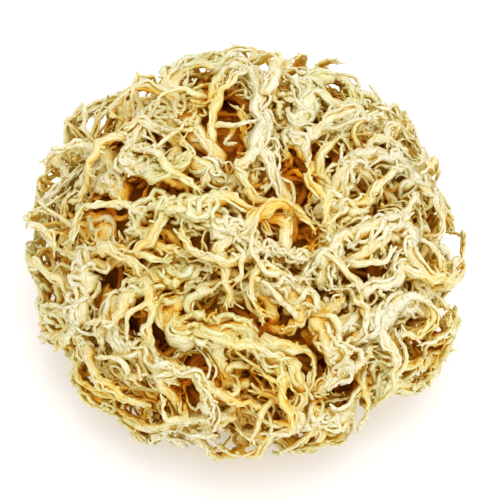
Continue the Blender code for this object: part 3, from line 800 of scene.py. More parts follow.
class Flow:
    """The ways that the main strands run."""

    def __init__(self, strands):
        lines = strands.lines[:, ::FLOW_EVERY]
        self.spots = lines.reshape(-1, 3)
        self.ways = ways_along(strands.lines)[:, ::FLOW_EVERY].reshape(-1, 3)
        self.fronds = np.repeat(strands.fronds, lines.shape[1])

    def apart(self, points):
        return np.linalg.norm(points[:, None] - self.spots, axis=2)

    def at(self, points, headings):
        """The nearest main strand's way at each point, forth or back as the heading is, and its nearness."""
        apart = self.apart(points)
        ways = self.ways[apart.argmin(1)]
        ways = ways * np.sign(np.sum(ways * headings, 1, keepdims=True))
        return ways, np.exp(-((apart.min(1) / FLOW_REACH) ** 2))[:, None]

    def nearest_fronds(self, points):
        return self.fronds[self.apart(points).argmin(1)]


class Strands:
    """Strands of one kind: lines (n, rings, 3), half widths and thicknesses (n, rings), fronds, tones (n)."""

    def __init__(self, lines, wide, thick, fronds, rank, tones, corners=FINE_CORNERS, ridges=0.0):
        self.lines, self.wide, self.thick, self.fronds = lines, wide, thick, fronds
        self.rank, self.tones, self.corners, self.ridges = rank, tones, corners, ridges


def ways_along(lines):
    return units(np.gradient(lines, axis=1))


def gaps_along(lines):
    return np.linalg.norm(np.gradient(lines, axis=1), axis=2)


def resampled(points, values, count):
    """Points and values at even spacing on the smooth curve through a strand's points."""
    fine = smooth_route(list(points), FINE_STEP)
    marks = np.linspace(0, len(fine) - 1, count)
    steps = np.arange(len(fine))
    line = np.column_stack([np.interp(marks, steps, fine[:, k]) for k in range(3)])
    return line, np.interp(np.linspace(0, len(values) - 1, count), np.arange(len(values)), values)


def smoothed(points, count):
    """Smooth curves with count points each through many strands' points at once: (strands, count, 3)."""
    before = 2 * points[:, :1] - points[:, 1:2]
    after = 2 * points[:, -1:] - points[:, -2:-1]
    ends = np.concatenate([before, points, after], 1)
    marks = np.linspace(0, points.shape[1] - 1 - 1e-9, count)
    k = marks.astype(int)
    t = (marks - k)[None, :, None]
    p0, p1, p2, p3 = (ends[:, k + j] for j in range(4))
    bend = (2 * p0 - 5 * p1 + 4 * p2 - p3) * t**2 + (3 * p1 - p0 - 3 * p2 + p3) * t**3
    return 0.5 * (2 * p1 + (p2 - p0) * t + bend)


def wavy(rng, count, rings, waves):
    """Smooth random curves between about -1 and 1, one a strand, that change direction so many times."""
    knots = rng.normal(0, WAVE_SPREAD, (count, int(waves) + 3))
    marks = np.linspace(0, waves, rings)
    k = marks.astype(int)
    t = marks - k
    ease = t * t * (3 - 2 * t)
    return knots[:, k] * (1 - ease) + knots[:, k + 1] * ease


def uneven(rng, count, rings, share, every):
    """Factors round 1 that vary by a share, over so many rings."""
    return 1 + share * wavy(rng, count, rings, rings / every)


def pointed(wide, sharp):
    """Tapers the last stretch of each strand, a share of its length, to a blunt point."""
    share = np.linspace(0, 1, wide.shape[1])
    end = np.clip((share - 1 + sharp) / sharp, 0, 1)
    return wide * np.sqrt(np.maximum(1 - end**2, BLUNT))


def crimped(lines, rng, pitch, size):
    """Lines with small waves to the sides, changing direction once a pitch, that fade in from the root."""
    count, rings = lines.shape[:2]
    length = np.linalg.norm(np.diff(lines, axis=1), axis=2).sum(1).mean()
    normals = outward_of(lines)
    side = np.cross(ways_along(lines), normals)
    fade = np.clip(np.linspace(0, 1, rings) * length / (CRIMP_FADE * pitch), 0, 1)[None, :, None]
    sway = wavy(rng, count, rings, length / pitch)[..., None] * side
    rise = wavy(rng, count, rings, length / pitch)[..., None] * normals
    return lines + size * fade * (sway + CRIMP_RISE * rise)


def frames_along(lines, rng):
    """Unit vectors up and across each strand; up stays near the outline's normal, and the strand leans."""
    ways = ways_along(lines)
    normals = outward_of(lines)
    up = np.empty_like(lines)
    now = normals[:, 0]
    for k in range(lines.shape[1]):
        now = now + TURN_OUT * normals[:, k]
        now = units(now - ways[:, k] * np.sum(now * ways[:, k], 1, keepdims=True))
        up[:, k] = now
    count, rings = lines.shape[:2]
    angle = (rng.normal(0, 0.5 * LEAN, (count, 1)) + LEAN * wavy(rng, count, rings, SLOW_WAVES))[..., None]
    across = np.cross(ways, up)
    return up * np.cos(angle) + across * np.sin(angle), across * np.cos(angle) - up * np.sin(angle)


def drawn_kind(strands, kind, rng):
    """The solids' strands of one kind: their bands, and the finer strands woven round each band."""
    plan = BANDS[kind]
    rings = plan.get("fine_rings", plan["rings"])
    drawn = [resampled(s.points, s.radii, rings) for s in strands]
    lines = crimped(np.array([line for line, _ in drawn]), rng, *BAND_CRIMP)
    radii = np.array([spread for _, spread in drawn])
    fronds = np.array([s.frond for s in strands])
    rank = strands[0].rank
    count = len(strands)
    tones = rng.uniform(-BAND_TONES, BAND_TONES, count) + FROND_TONES[fronds]
    share = np.linspace(0, 1, rings)
    flare = 1 + BAND_FLARE * min(rank, 1) * np.exp(-share * FLARE_FADE)
    wide = radii * flare * uneven(rng, count, rings, *BAND_WAVES)
    wide = pointed(pointed(wide, plan["sharp"])[:, ::-1], ROOT_SHARP)[:, ::-1]
    few = np.linspace(0, rings - 1, plan["rings"]).round().astype(int)
    # Painted shade in the grooves between the woven strands
    tones_and_groove_shade = tones + (GROOVE_SHADE if plan["woven"] else 0)
    batches = [Strands(lines[:, few], plan["wide"] * wide[:, few], plan["thick"] * wide[:, few], fronds, rank,
                       tones_and_groove_shade, plan["corners"], BAND_RIDGES)]
    up, across = frames_along(lines, rng)
    twist = rng.uniform(0, TURNS, (count, 1)) + TWIST * wavy(rng, count, rings, TWIST_WAVES)
    ease = np.clip(share * WOVEN_START[0], WOVEN_START[1], 1)[None, :, None]
    for k in range(plan["woven"]):
        wander = WANDER * wavy(rng, count, rings, rings / WANDER_RINGS)
        angle = 2 * math.pi * k / plan["woven"] + twist + wander
        out = plan["out"] * (SWING[0] + SWING[1] * wavy(rng, count, rings, rings / WANDER_RINGS))
        to_side = (np.cos(angle) * plan["wide"] * out * wide)[..., None] * across
        to_top = (np.sin(angle) * (plan["thick"] + WOVEN_LIFT) * out * wide)[..., None] * up
        fine = np.maximum(plan["fine"] * radii, LEAST_WIDTH) * uneven(rng, count, rings, *WOVEN_WAVES)
        fine = pointed(fine, WOVEN_SHARP)
        line = crimped(lines + ease * (to_side + to_top), rng, *WOVEN_CRIMP)
        tone = tones + rng.uniform(-WOVEN_TONES, WOVEN_TONES, count)
        batches.append(Strands(line, fine, FINE_FLATNESS * fine, fronds, rank, tone))
    return batches


def curled(starts, headings, plan, rng, flow):
    """Lines grown side by side: each turns over the outline by its own spin and keeps to its wanted depth."""
    count = len(starts)
    steps = plan["steps"]
    step = (plan["length"] * rng.uniform(*LENGTHS, count) / steps)[:, None]
    spins = plan["spin"] * rng.normal(0, 1, count)
    tighten = rng.uniform(LEAST_TIGHTEN, plan["tighten"], count)
    wanted = rng.uniform(*plan["depths"], count)
    points = [starts]
    for k in range(steps):
        normals = outward_of(points[-1])
        turn = spins * (1 + tighten * k / steps) + rng.normal(0, plan["stray"], count)
        headings = turned_about(headings, normals, turn)
        ways, near = flow.at(points[-1], headings)
        sunk = wanted + plan["sink"] * (1 - near[:, 0])
        pull = (depths_of(points[-1]) - sunk) * DEPTH_PULL
        lift = np.clip(pull, -DEPTH_PULL_MOST, DEPTH_PULL_MOST)[:, None]
        rising = np.sum(headings * normals, 1, keepdims=True)
        steer = normals * (PULL_SHARE * lift - LEVEL_SHARE * rising)
        headings = headings + steer + plan["combed"] * near * ways
        headings = units(headings + rng.normal(0, STEER_STRAY, (count, 3)))
        points.append(points[-1] + headings * step)
    return np.stack(points, 1)


def roots_on(laid, count, ranks, rng):
    """Random places on strands of those ranks: where, which way, how wide, on which frond, how brown."""
    found = []
    for strands in laid:
        if strands.rank in ranks:
            rings = strands.lines.shape[1]
            margin = max(1, rings // ROOT_MARGIN)
            inner = slice(margin, rings - margin)
            number = rings - 2 * margin
            lengths = np.linalg.norm(np.diff(strands.lines, axis=1), axis=2).mean(1)
            found.append((
                strands.lines[:, inner].reshape(-1, 3), ways_along(strands.lines)[:, inner].reshape(-1, 3),
                strands.wide[:, inner].reshape(-1), np.repeat(strands.fronds, number),
                np.repeat(strands.tones, number), np.repeat(lengths, number),
            ))
    *values, weights = (np.concatenate(parts) for parts in zip(*found))
    picked = rng.choice(len(weights), count, replace=False, p=weights / weights.sum())
    return [value[picked] for value in values]


def tips_of(laid, count, ranks, rng):
    """Random tips of strands of those ranks: a place just before the end, and the same values as roots_on."""
    batches = [strands for strands in laid if strands.rank in ranks]
    values = (
        np.concatenate([s.lines[:, -3] for s in batches]),
        np.concatenate([ways_along(s.lines)[:, -3] for s in batches]),
        np.concatenate([s.wide[:, -s.wide.shape[1] // 3] for s in batches]),
        np.concatenate([s.fronds for s in batches]),
        np.concatenate([s.tones for s in batches]),
    )
    picked = rng.integers(0, len(values[0]), count)
    return [value[picked] for value in values]


def grown(laid, room, flow, plan, rng):
    """A round of new strands, each the freest of a few tries."""
    tries = plan["tries"]
    roots = roots_on(laid, ROUND, plan["on"], rng)
    where, ways, wide, fronds, tones = (np.repeat(part, tries, axis=0) for part in roots)
    total = len(where)
    angle = np.radians(rng.uniform(*plan["angles"], total)) * rng.choice([-1.0, 1.0], total)
    forth = rng.choice([-1.0, 1.0, 1.0], total)[:, None]
    headings = turned_about(ways * forth, outward_of(where), angle)
    lines = curled(where, units(headings), plan, rng, flow)
    outer = lines[:, ROOT_POINTS:]
    free = (room.at(outer) == 0) & (share_of(outer) > CORE_SHARE * CORE_CLEAR) & (outer[..., 2] > TABLE_CLEAR)
    score = (free.mean(1) - HOLLOW_COST * in_hollow(outer).mean(1)).reshape(-1, tries)
    kept = np.flatnonzero(score.max(1) >= plan["free"])
    rows = kept * tries + score.argmax(1)[kept]
    count, rings = len(rows), plan["rings"]
    lines = crimped(smoothed(lines[rows], rings), rng, *plan["crimp"])
    share = np.linspace(0, 1, rings)
    base = plan["wide"] * rng.lognormal(*WIDTH_DRAW, count)
    base = np.minimum(base, np.maximum(PARENT_SHARE * wide[rows], LEAST_WIDTH))[:, None]
    flare = 1 + plan["flare"] * np.exp(-share * FLARE_FADE)
    spread = base * (1 + (plan["taper"] - 1) * share**TAPER_POWER) * flare
    spread = spread * uneven(rng, count, rings, *GROWN_WAVES)
    thick = spread * plan["thick"] * (1 + THICK_WAVES * wavy(rng, count, rings, SLOW_WAVES))
    tones = tones[rows] + rng.uniform(-GROWN_TONES, GROWN_TONES, count)
    return Strands(lines, pointed(spread, plan["sharp"]), pointed(thick, plan["sharp"]), fronds[rows],
                   plan["rank"], tones)


def pronged(roots, plan, rng):
    """Short pointed prongs that stand off at an angle."""
    where, ways, wide, fronds, tones = roots
    count = len(where)
    side = rng.choice([-1.0, 1.0], count)
    normals = outward_of(where)
    headings = turned_about(ways, normals, np.radians(rng.uniform(*plan["angles"], count)) * side)
    headings = units(headings + normals * rng.uniform(*PRONG_RISE, count)[:, None])
    bent = turned_about(headings, normals, -side * rng.uniform(*PRONG_TURN, count))
    length = (plan["length"] * rng.uniform(*PRONG_LENGTHS, count))[:, None, None]
    share = np.linspace(0, 1, plan["rings"])
    bend = PRONG_BEND * share[:, None] ** 2
    travel = (share[:, None] - bend) * headings[:, None] + bend * bent[:, None]
    base = plan["wide"] * rng.uniform(*PRONG_WIDTHS, count)
    base = np.minimum(base, PRONG_PARENT_SHARE * wide)[:, None]
    spread = base * (1 + (plan["end"] - 1) * share)
    return Strands(where[:, None] + length * travel, spread, spread * FINE_FLATNESS, fronds, PRONG_RANK,
                   tones + PRONG_TONE)


def matted(plan, rng, flow):
    """Flat strands wound round the heart under the fronds, spread evenly over it."""
    k = np.arange(plan["number"])
    height = 1 - (2 * k + 1) / plan["number"]
    flat = np.sqrt(1 - height**2)
    ways = np.column_stack([flat * np.cos(GOLDEN * k), flat * np.sin(GOLDEN * k), height])
    shares = rng.uniform(*plan["shares"], plan["number"]) * lobed(ways)
    starts = OUTLINE_MIDDLE + ways * OUTLINE_HALF * shares[:, None]
    headings = units(np.cross(outward_of(starts), rng.normal(0, 1, (plan["number"], 3))))
    rings = plan["rings"]
    lines = crimped(smoothed(curled(starts, headings, plan, rng, flow), rings), rng, *plan["crimp"])
    if plan["open"]:
        lines = lines[~in_hollow(lines).any(1)]
    count = len(lines)
    spread = rng.uniform(*plan["wide"], count)[:, None] * uneven(rng, count, rings, *MATTED_WAVES)
    spread = pointed(pointed(spread, MATTED_SHARP)[:, ::-1], MATTED_SHARP)
    tones = plan["tone"] + rng.uniform(-MATTED_TONES, MATTED_TONES, count)
    fronds = flow.nearest_fronds(lines[:, rings // 2]) if plan["open"] else np.full(count, HEART)
    return Strands(lines, spread, MATTED_THICK[0] + MATTED_THICK[1] * spread, fronds, MATTED_RANK, tones)


def mark_room(room, strands):
    """Fills the cells that the strands take up."""
    reach = np.array([[0, 0, 0], [1, 0, 0], [-1, 0, 0], [0, 1, 0], [0, -1, 0], [0, 0, 1], [0, 0, -1]])
    room.fill(strands.lines[..., None, :] + reach * (ROOM_REACH * strands.thick[..., None, None]))


def kind_of(strand):
    return "arch" if (strand.frond, strand.rank) == (HEART, 0) else RANKS[strand.rank]


def all_strands(tangle):
    """Every strand of the looks, in batches: those of the solids first, then what grows from them."""
    rng = np.random.default_rng(LOOK_SEED)
    room = Grid(ROOM_CELL)
    laid = []
    for kind in BANDS:
        laid += drawn_kind([s for s in tangle.strands if kind_of(s) == kind], kind, rng)
    flow = Flow(laid[0])
    laid.append(matted(FILLER_PLAN, rng, flow))
    for strands in laid:
        mark_room(room, strands)
    for plan in (SIDE_PLAN, CURL_PLAN):
        for _ in range(0, plan["number"], ROUND):
            strands = grown(laid, room, flow, plan, rng)
            mark_room(room, strands)
            laid.append(strands)
    for pick, plan in ((tips_of, PRONG_PLAN), (roots_on, NUB_PLAN)):
        laid.append(pronged(pick(laid, plan["number"], plan["on"], rng), plan, rng))
    laid.append(matted(MATTED_PLAN, rng, flow))
    return laid


# Ridges round a band, uneven spots as shares of the width, and how much painted shade browns a strand's
# underside
RIDGES = 4
LUMPS = 0.28
UNDER_SHADE = 0.40
UNDER_POWER = 1.3

# Off the fronds' axes, between these distances, strands turn browner by so much, painted shade between the
# fronds;
# on the axes they are paler
OFF_START = 0.0035
OFF_END = 0.0100
OFF_AXIS_SHADE = 0.20
ON_TONE = -0.02


def swept(strands, rng):
    """Each strand's surface (n, rings, corners, 3), the same points unrolled for the grain, and tones with
    painted shade on the undersides.
    """
    count, rings = strands.wide.shape
    up, across = frames_along(strands.lines, rng)
    angles = np.arange(strands.corners) * 2 * math.pi / strands.corners
    drift = rng.uniform(0, TURNS, (count, 1)) + WANDER * wavy(rng, count, rings, SLOW_WAVES)
    relief = 1 + strands.ridges * np.cos(RIDGES * angles + drift[..., None])
    edge = EDGE_WAVES[0] if strands.rank != PRONG_RANK else 0
    right, left = (uneven(rng, count, rings, edge, EDGE_WAVES[1])[..., None] for _ in range(2))
    sideways = strands.wide[..., None] * np.cos(angles) * relief * np.where(np.cos(angles) > 0, right, left)
    upright = strands.thick[..., None] * np.sin(angles) * relief
    lumps = 1 + LUMPS * rng.uniform(-1, 1, (2, *sideways.shape))
    sideways, upright = sideways * lumps[0], upright * lumps[1]
    centres = strands.lines[..., None, :]
    points = centres + (across[..., None, :] * sideways[..., None] + up[..., None, :] * upright[..., None])
    travelled = np.cumsum(gaps_along(strands.lines), 1)[..., None] * np.ones(strands.corners)
    grain = np.stack([travelled, sideways, upright], -1) + rng.uniform(0, 0.5, (count, 1, 1, 3))
    height = np.sum((points - centres) * outward_of(strands.lines)[..., None, :], -1)
    under = 0.5 - 0.5 * height / np.maximum(strands.thick[..., None], 1e-6)
    # Painted shade: the underside of each strand is browner
    tones = strands.tones[:, None, None] + UNDER_SHADE * np.clip(under, 0, 1) ** UNDER_POWER
    return points, grain, tones


def off_fronds(laid):
    """For each batch, how far its points lie off the fronds' axes: 0 on them, 1 well between them."""
    spots = laid[0].lines.reshape(-1, 3)
    tree = KDTree(len(spots))
    for number, spot in enumerate(spots):
        tree.insert(spot, number)
    tree.balance()
    shares = []
    for strands in laid:
        apart = np.array([tree.find(point)[2] for point in strands.lines.reshape(-1, 3)])
        share = np.clip((apart - OFF_START) / (OFF_END - OFF_START), 0, 1)
        shares.append((share * share * (3 - 2 * share)).reshape(strands.wide.shape))
    return shares


def tube_faces(count, rings, corners):
    """Corner indices of the quads along each tube, and of the caps at both its ends."""
    first = np.arange(count)[:, None, None] * rings * corners
    ring = np.arange(rings - 1)[None, :, None] * corners
    j = np.arange(corners)[None, None, :]
    after = (j + 1) % corners
    here, there = first + ring, first + ring + corners
    quads = np.stack([here + j, there + j, there + after, here + after], -1).reshape(-1, 4)
    starts = first[:, 0] + np.arange(corners)
    ends = first[:, 0] + (rings - 1) * corners + np.arange(corners)[::-1]
    return quads, np.vstack([starts, ends])


def mesh_object(name, points, groups, marks):
    """A smooth mesh from its points, groups of faces of equal size, and marks (values for the material)."""
    mesh = bpy.data.meshes.new(name)
    mesh.vertices.add(len(points))
    mesh.vertices.foreach_set("co", points.astype(np.float32).ravel())
    sizes = np.concatenate([np.full(len(faces), faces.shape[1]) for faces in groups])
    corners = np.concatenate([faces.ravel() for faces in groups])
    mesh.loops.add(len(corners))
    mesh.loops.foreach_set("vertex_index", corners.astype(np.int32))
    mesh.polygons.add(len(sizes))
    mesh.polygons.foreach_set("loop_start", np.concatenate([[0], np.cumsum(sizes)[:-1]]).astype(np.int32))
    mesh.update(calc_edges=True)
    mesh.shade_smooth()
    for mark, values in marks.items():
        kind, field = ("FLOAT_VECTOR", "vector") if values.ndim == 2 else ("FLOAT", "value")
        layer = mesh.attributes.new(mark, kind, "POINT")
        layer.data.foreach_set(field, values.astype(np.float32).ravel())
    piece = bpy.data.objects.new(name, mesh)
    bpy.context.scene.collection.objects.link(piece)
    return piece


# How the light that reaches a spot is worked out: stops on the way out, the ways on a cone round the outward
# one, how strongly the seaweed in the cells and the depth below the outline hold it back, and where between
# its middle and its surface a strand is counted
LIGHT_STOPS = (0.0008, 0.0014, 0.0024, 0.0036, 0.0050, 0.0068, 0.0090, 0.0120)
LIGHT_CONE = math.radians(42)
LIGHT_WAYS = 5
LIGHT_ASKEW = (0.3, 0.9, 0.2)
COVER_WEIGHT = 260
DEPTH_WEIGHT = 40
OPEN_DEPTH = 0.0015
SURFACE_SHARE = 0.6

# How much painted shade browns the hollows: at most, how wide their rim is, the depth from which they are
# fully so, how much so at the top, and how steeply the shade deepens towards their axis
HOLLOW_SHADE = 0.80
HOLLOW_RIM = 2.2
HOLLOW_FULL = 0.005
HOLLOW_TOP = 0.08
HOLLOW_SLOPE = 1.6


def cover_grid(laid, surfaces):
    """How much of each cell is seaweed."""
    grid = Grid(COVER_CELL)
    for strands, (surface, _, _) in zip(laid, surfaces):
        volume = math.pi * strands.wide * strands.thick * gaps_along(strands.lines)
        amounts = volume / COVER_CELL**3 / strands.corners
        spots = (1 - SURFACE_SHARE) * strands.lines[..., None, :] + SURFACE_SHARE * surface
        grid.add(spots, np.repeat(amounts[..., None], strands.corners, 2))
    return grid


def painted_shade(grid, points):
    """Painted shade: from 0 in the open to 1 deep in the tangle, by what lies over each point in a few
    outward ways, and more in the hollows.
    """
    normals = outward_of(points)
    right = units(np.cross(normals, LIGHT_ASKEW))
    front = np.cross(normals, right)
    clear = np.zeros(len(points))
    for k in range(LIGHT_WAYS + 1):
        turn = 2 * math.pi * k / LIGHT_WAYS
        lean = LIGHT_CONE if k < LIGHT_WAYS else 0.0
        way = normals * math.cos(lean) + (right * math.cos(turn) + front * math.sin(turn)) * math.sin(lean)
        over = np.zeros(len(points))
        for before, stop in zip(LIGHT_STOPS, LIGHT_STOPS[1:]):
            over += np.minimum(grid.at(points + way * stop), 1) * (stop - before)
        clear += np.exp(-COVER_WEIGHT * over) / (LIGHT_WAYS + 1)
    depth = np.maximum(depths_of(points) - OPEN_DEPTH, 0)
    within = np.clip(HOLLOW_SLOPE * beside_hollow(points, HOLLOW_RIM), 0, 1)
    sunk = np.clip(depth / HOLLOW_FULL, HOLLOW_TOP, 1) * within
    return 1 - clear * np.exp(-DEPTH_WEIGHT * depth) + HOLLOW_SHADE * sunk


# Colours by how much painted shade a spot has, from cream in the open to brown shade in the gaps and deep in
# the tangle
CREAM_AND_SHADE_COLOURS = (
    (0.00, (0.795, 0.785, 0.625)),
    (0.14, (0.795, 0.768, 0.565)),
    (0.32, (0.800, 0.728, 0.450)),
    (0.52, (0.810, 0.635, 0.265)),
    (0.72, (0.830, 0.485, 0.090)),
    (0.90, (0.780, 0.345, 0.032)),
    (1.00, (0.640, 0.220, 0.013)),
)
GREEN_TINT = (0.95, 1.0, 0.87, 1)
SALT = (0.890, 0.800, 0.660, 1)
# Painted shade in the fine grooves and pits
FINE_GROOVE_SHADE = (0.72, 0.46, 0.18, 1)

# For each slot, how far its colours lie towards brown, and how much salt it carries: the slots are lit and
# shaded copies of one seaweed, so this shift is painted light and shade by layer
SLOT_LOOKS = {"pale_frond": (-0.06, 0.02), "golden_frond": (0.02, 0.0), "matted_frond": (0.06, -0.05)}

# The patterns: spots to a metre, detail and roughness; streaks are stretched along the strand
PATTERNS = {
    "patches": (26, 3, 0.5),
    "streaks": (1400, 3, 0.6),
    "pits": (1100, 2, 0.6),
    "greenery": (24, 2, 0.5),
    "salt": (80, 4, 0.65),
}
STREAK_STRETCH = (0.22, 1.0, 1.0)

# What a value that runs from the first to the second number is turned into, from the third to the fourth:
# painted shade in creases, browner by patches, lit in the open, painted shade in fine grooves and pits, and
# how strongly each colour is mixed in
RANGES = {
    "crease_shade": (0.2, 0.8, 0.28, 0.0),
    "drift": (0.3, 0.7, -0.27, 0.13),
    "open_air": (0.55, 0.15, 0.0, 1.0),
    "green": (0.50, 0.66, 0.0, 1.0),
    "salted": (0.60, 0.72, 0.0, 0.35),
    "streak_groove_shade": (0.52, 0.30, 0.0, 0.65),
    "pit_shade": (0.40, 0.28, 0.0, 0.55),
    "rough": (0.3, 0.7, 0.50, 0.72),
}
CREASE_REACH = 0.0030
CREASE_SAMPLES = 4
SPECULAR = 0.3
BUMP = {"Strength": 0.6, "Distance": 0.0006}
PIT_BUMP = 0.5

# The sockets of a colour mix: factor and the two colours
MIX_SOCKETS = (0, 6, 7)


class Shades:
    """One material's shader nodes, wired up as they are made."""

    def __init__(self, name):
        self.material = bpy.data.materials.new(name)
        self.material.use_nodes = True
        self.tree = self.material.node_tree
        self.shader = self.tree.nodes["Principled BSDF"]

    def put(self, socket, value):
        if isinstance(value, bpy.types.NodeSocket):
            self.tree.links.new(value, socket)
        else:
            socket.default_value = value

    def made(self, kind, inputs):
        """A new node with its inputs put in, by name or number."""
        node = self.tree.nodes.new(kind)
        for key, value in inputs.items():
            self.put(node.inputs[key], value)
        return node

    def mark(self, name, output):
        """A value that the mesh carries."""
        node = self.made("ShaderNodeAttribute", {})
        node.attribute_name = name
        return node.outputs[output]

    def math(self, operation, first, second):
        node = self.made("ShaderNodeMath", {0: first, 1: second})
        node.operation = operation
        return node.outputs[0]

    def sum(self, first, *others):
        total = first
        for value in others:
            total = self.math("ADD", total, value)
        return total

    def mix(self, blend, factor, first, second):
        node = self.tree.nodes.new("ShaderNodeMix")
        node.data_type = "RGBA"
        node.blend_type = blend
        for index, value in zip(MIX_SOCKETS, (factor, first, second)):
            self.put(node.inputs[index], value)
        return node.outputs[2]

    def pattern(self, vector, name):
        scale, detail, roughness = PATTERNS[name]
        inputs = {"Vector": vector, "Scale": scale, "Detail": detail, "Roughness": roughness}
        return self.made("ShaderNodeTexNoise", inputs).outputs["Fac"]

    def shut_in(self):
        """From 1 on an open surface to 0 in a narrow crease."""
        node = self.made("ShaderNodeAmbientOcclusion", {"Distance": CREASE_REACH})
        node.samples = CREASE_SAMPLES
        return node.outputs["AO"]

    def ranged(self, value, name, earlier=0.0):
        """The value turned by its range, which may start earlier by an amount."""
        start, end, low, high = RANGES[name]
        inputs = {"Value": value, "From Min": start - earlier, "From Max": end - earlier, "To Min": low,
                  "To Max": high}
        return self.made("ShaderNodeMapRange", inputs).outputs["Result"]

    def ramp(self, value, stops):
        node = self.made("ShaderNodeValToRGB", {"Fac": value})
        elements = node.color_ramp.elements
        while len(elements) < len(stops):
            elements.new(0.5)
        for element, (spot, colour) in zip(elements, stops):
            element.position = spot
            element.color = (*colour, 1)
        return node.outputs["Color"]


def seaweed_material(name, layer_shade, salt):
    """Dried seaweed: cream in the open and golden to brown in painted shade deep in, in creases and in fine
    grooves, with pale salt, streaks and fine pits.
    """
    looks = Shades(name)
    place = looks.made("ShaderNodeTexCoord", {}).outputs["Object"]
    # The painted shade that the mesh carries, from what lies over each spot and from the hollows
    depth = looks.mark("painted_shade", "Fac")
    grain = looks.mark("grain", "Vector")
    along = looks.made("ShaderNodeMapping", {"Scale": STREAK_STRETCH, "Vector": grain}).outputs["Vector"]

    patches = looks.pattern(place, "patches")
    streaks = looks.pattern(along, "streaks")
    pits = looks.pattern(place, "pits")
    # Painted shade: browner in narrow creases, where little light reaches
    crease_shade = looks.ranged(looks.shut_in(), "crease_shade")
    drift = looks.ranged(patches, "drift")
    tone = looks.mark("tone", "Fac")
    colour = looks.ramp(looks.sum(depth, drift, tone, crease_shade, layer_shade), CREAM_AND_SHADE_COLOURS)

    open_air = looks.ranged(looks.sum(depth, tone, crease_shade), "open_air")
    green = looks.math("MULTIPLY", looks.ranged(looks.pattern(place, "greenery"), "green"), open_air)
    colour = looks.mix("MULTIPLY", green, colour, GREEN_TINT)
    salted = looks.math("MULTIPLY", looks.ranged(looks.pattern(place, "salt"), "salted", salt), open_air)
    colour = looks.mix("MIX", salted, colour, SALT)
    # Painted shade, darker where the bump sinks into fine grooves and pits
    colour = looks.mix("MULTIPLY", looks.ranged(streaks, "streak_groove_shade"), colour, FINE_GROOVE_SHADE)
    colour = looks.mix("MULTIPLY", looks.ranged(pits, "pit_shade"), colour, FINE_GROOVE_SHADE)
    looks.put(looks.shader.inputs["Base Color"], colour)
    looks.put(looks.shader.inputs["Roughness"], looks.ranged(patches, "rough"))
    looks.shader.inputs["Specular IOR Level"].default_value = SPECULAR

    height = looks.sum(streaks, looks.math("MULTIPLY", pits, PIT_BUMP))
    bump = looks.made("ShaderNodeBump", {**BUMP, "Height": height})
    looks.put(looks.shader.inputs["Normal"], bump.outputs["Normal"])
    return looks.material


# The heart's core lies behind the matted strands; waves raise its surface into flat strands as well
CORE_LEVEL = 0.90
CORE_RELIEF = 0.018
CORE_DETAIL = 4
CORE_WAVES = 9
CORE_PITCHES = (14, 30)
CORE_BENDS = (3, 7)
CORE_SWAY = 2
# How much browner the core is: painted shade deep in the heart
CORE_SHADE = 0.15


def heart_core_mesh():
    """The points and triangles of the core."""
    ball = bmesh.new()
    bmesh.ops.create_icosphere(ball, subdivisions=CORE_DETAIL, radius=1)
    ways = np.array([vert.co for vert in ball.verts])
    triangles = np.array([[vert.index for vert in face.verts] for face in ball.faces])
    ball.free()
    waves = np.zeros(len(ways))
    rng = np.random.default_rng(LOOK_SEED)
    for _ in range(CORE_WAVES):
        pull = units(rng.normal(0, 1, 3)) * rng.uniform(*CORE_PITCHES)
        bend = units(rng.normal(0, 1, 3)) * rng.uniform(*CORE_BENDS)
        waves += np.abs(np.sin(ways @ pull + CORE_SWAY * np.sin(ways @ bend)))
    shares = CORE_SHARE * (CORE_LEVEL + CORE_RELIEF * (waves - waves.mean())) * lobed(ways)
    return OUTLINE_MIDDLE + ways * OUTLINE_HALF * shares[:, None], triangles


# How far a strand may stand out of the box of the solids
BOX_MARGIN = 0.0012


def make_fronds(tangle, shift):
    """One piece for each frond, and one for the heart."""
    laid = all_strands(tangle)
    rng = np.random.default_rng(LOOK_SEED + 1)
    surfaces = [swept(strands, rng) for strands in laid]
    grid = cover_grid(laid, surfaces)
    shares = off_fronds(laid)
    low = np.array(cad_box[0]) + shift - BOX_MARGIN
    high = np.array(cad_box[1]) + shift + BOX_MARGIN
    low[2] = 0.0
    slots = {part["node"]: part["material_slot"] for part in frame["record"]["subparts"]}
    materials = {slot: seaweed_material(slot, *settings) for slot, settings in SLOT_LOOKS.items()}
    for number, name in enumerate([*ROUTES, "matted_heart"]):
        points, grains, tones, groups = [], [], [], []
        first = 0
        for strands, off, (surface, grain, tone) in zip(laid, shares, surfaces):
            rows = np.flatnonzero(strands.fronds == number)
            if len(rows):
                rings, corners = surface.shape[1:3]
                groups += [faces + first for faces in tube_faces(len(rows), rings, corners)]
                points.append(surface[rows].reshape(-1, 3))
                grains.append(grain[rows].reshape(-1, 3))
                # Tones with painted shade between the fronds' axes
                tones.append((tone[rows] + ON_TONE + OFF_AXIS_SHADE * off[rows][..., None]).reshape(-1))
                first += len(rows) * rings * corners
        if number == HEART:
            core, triangles = heart_core_mesh()
            groups.append(triangles + first)
            points.append(core)
            grains.append(core)
            # The core's tones: painted shade deep in the heart
            tones.append(np.full(len(core), CORE_SHADE))
        points = np.clip(np.concatenate(points), low, high)
        tones = np.concatenate(tones) + place_tones_and_shade(points)
        # The mesh carries its painted shade, and tones that hold painted shade as well as the seaweed's own
        # tones
        marks = {"painted_shade": painted_shade(grid, points), "tone": tones, "grain": np.concatenate(grains)}
        piece = mesh_object(name + "_strands", points - shift, groups, marks)
        piece.data.materials.append(materials[slots[name]])
        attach(piece, "root")
        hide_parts(name)


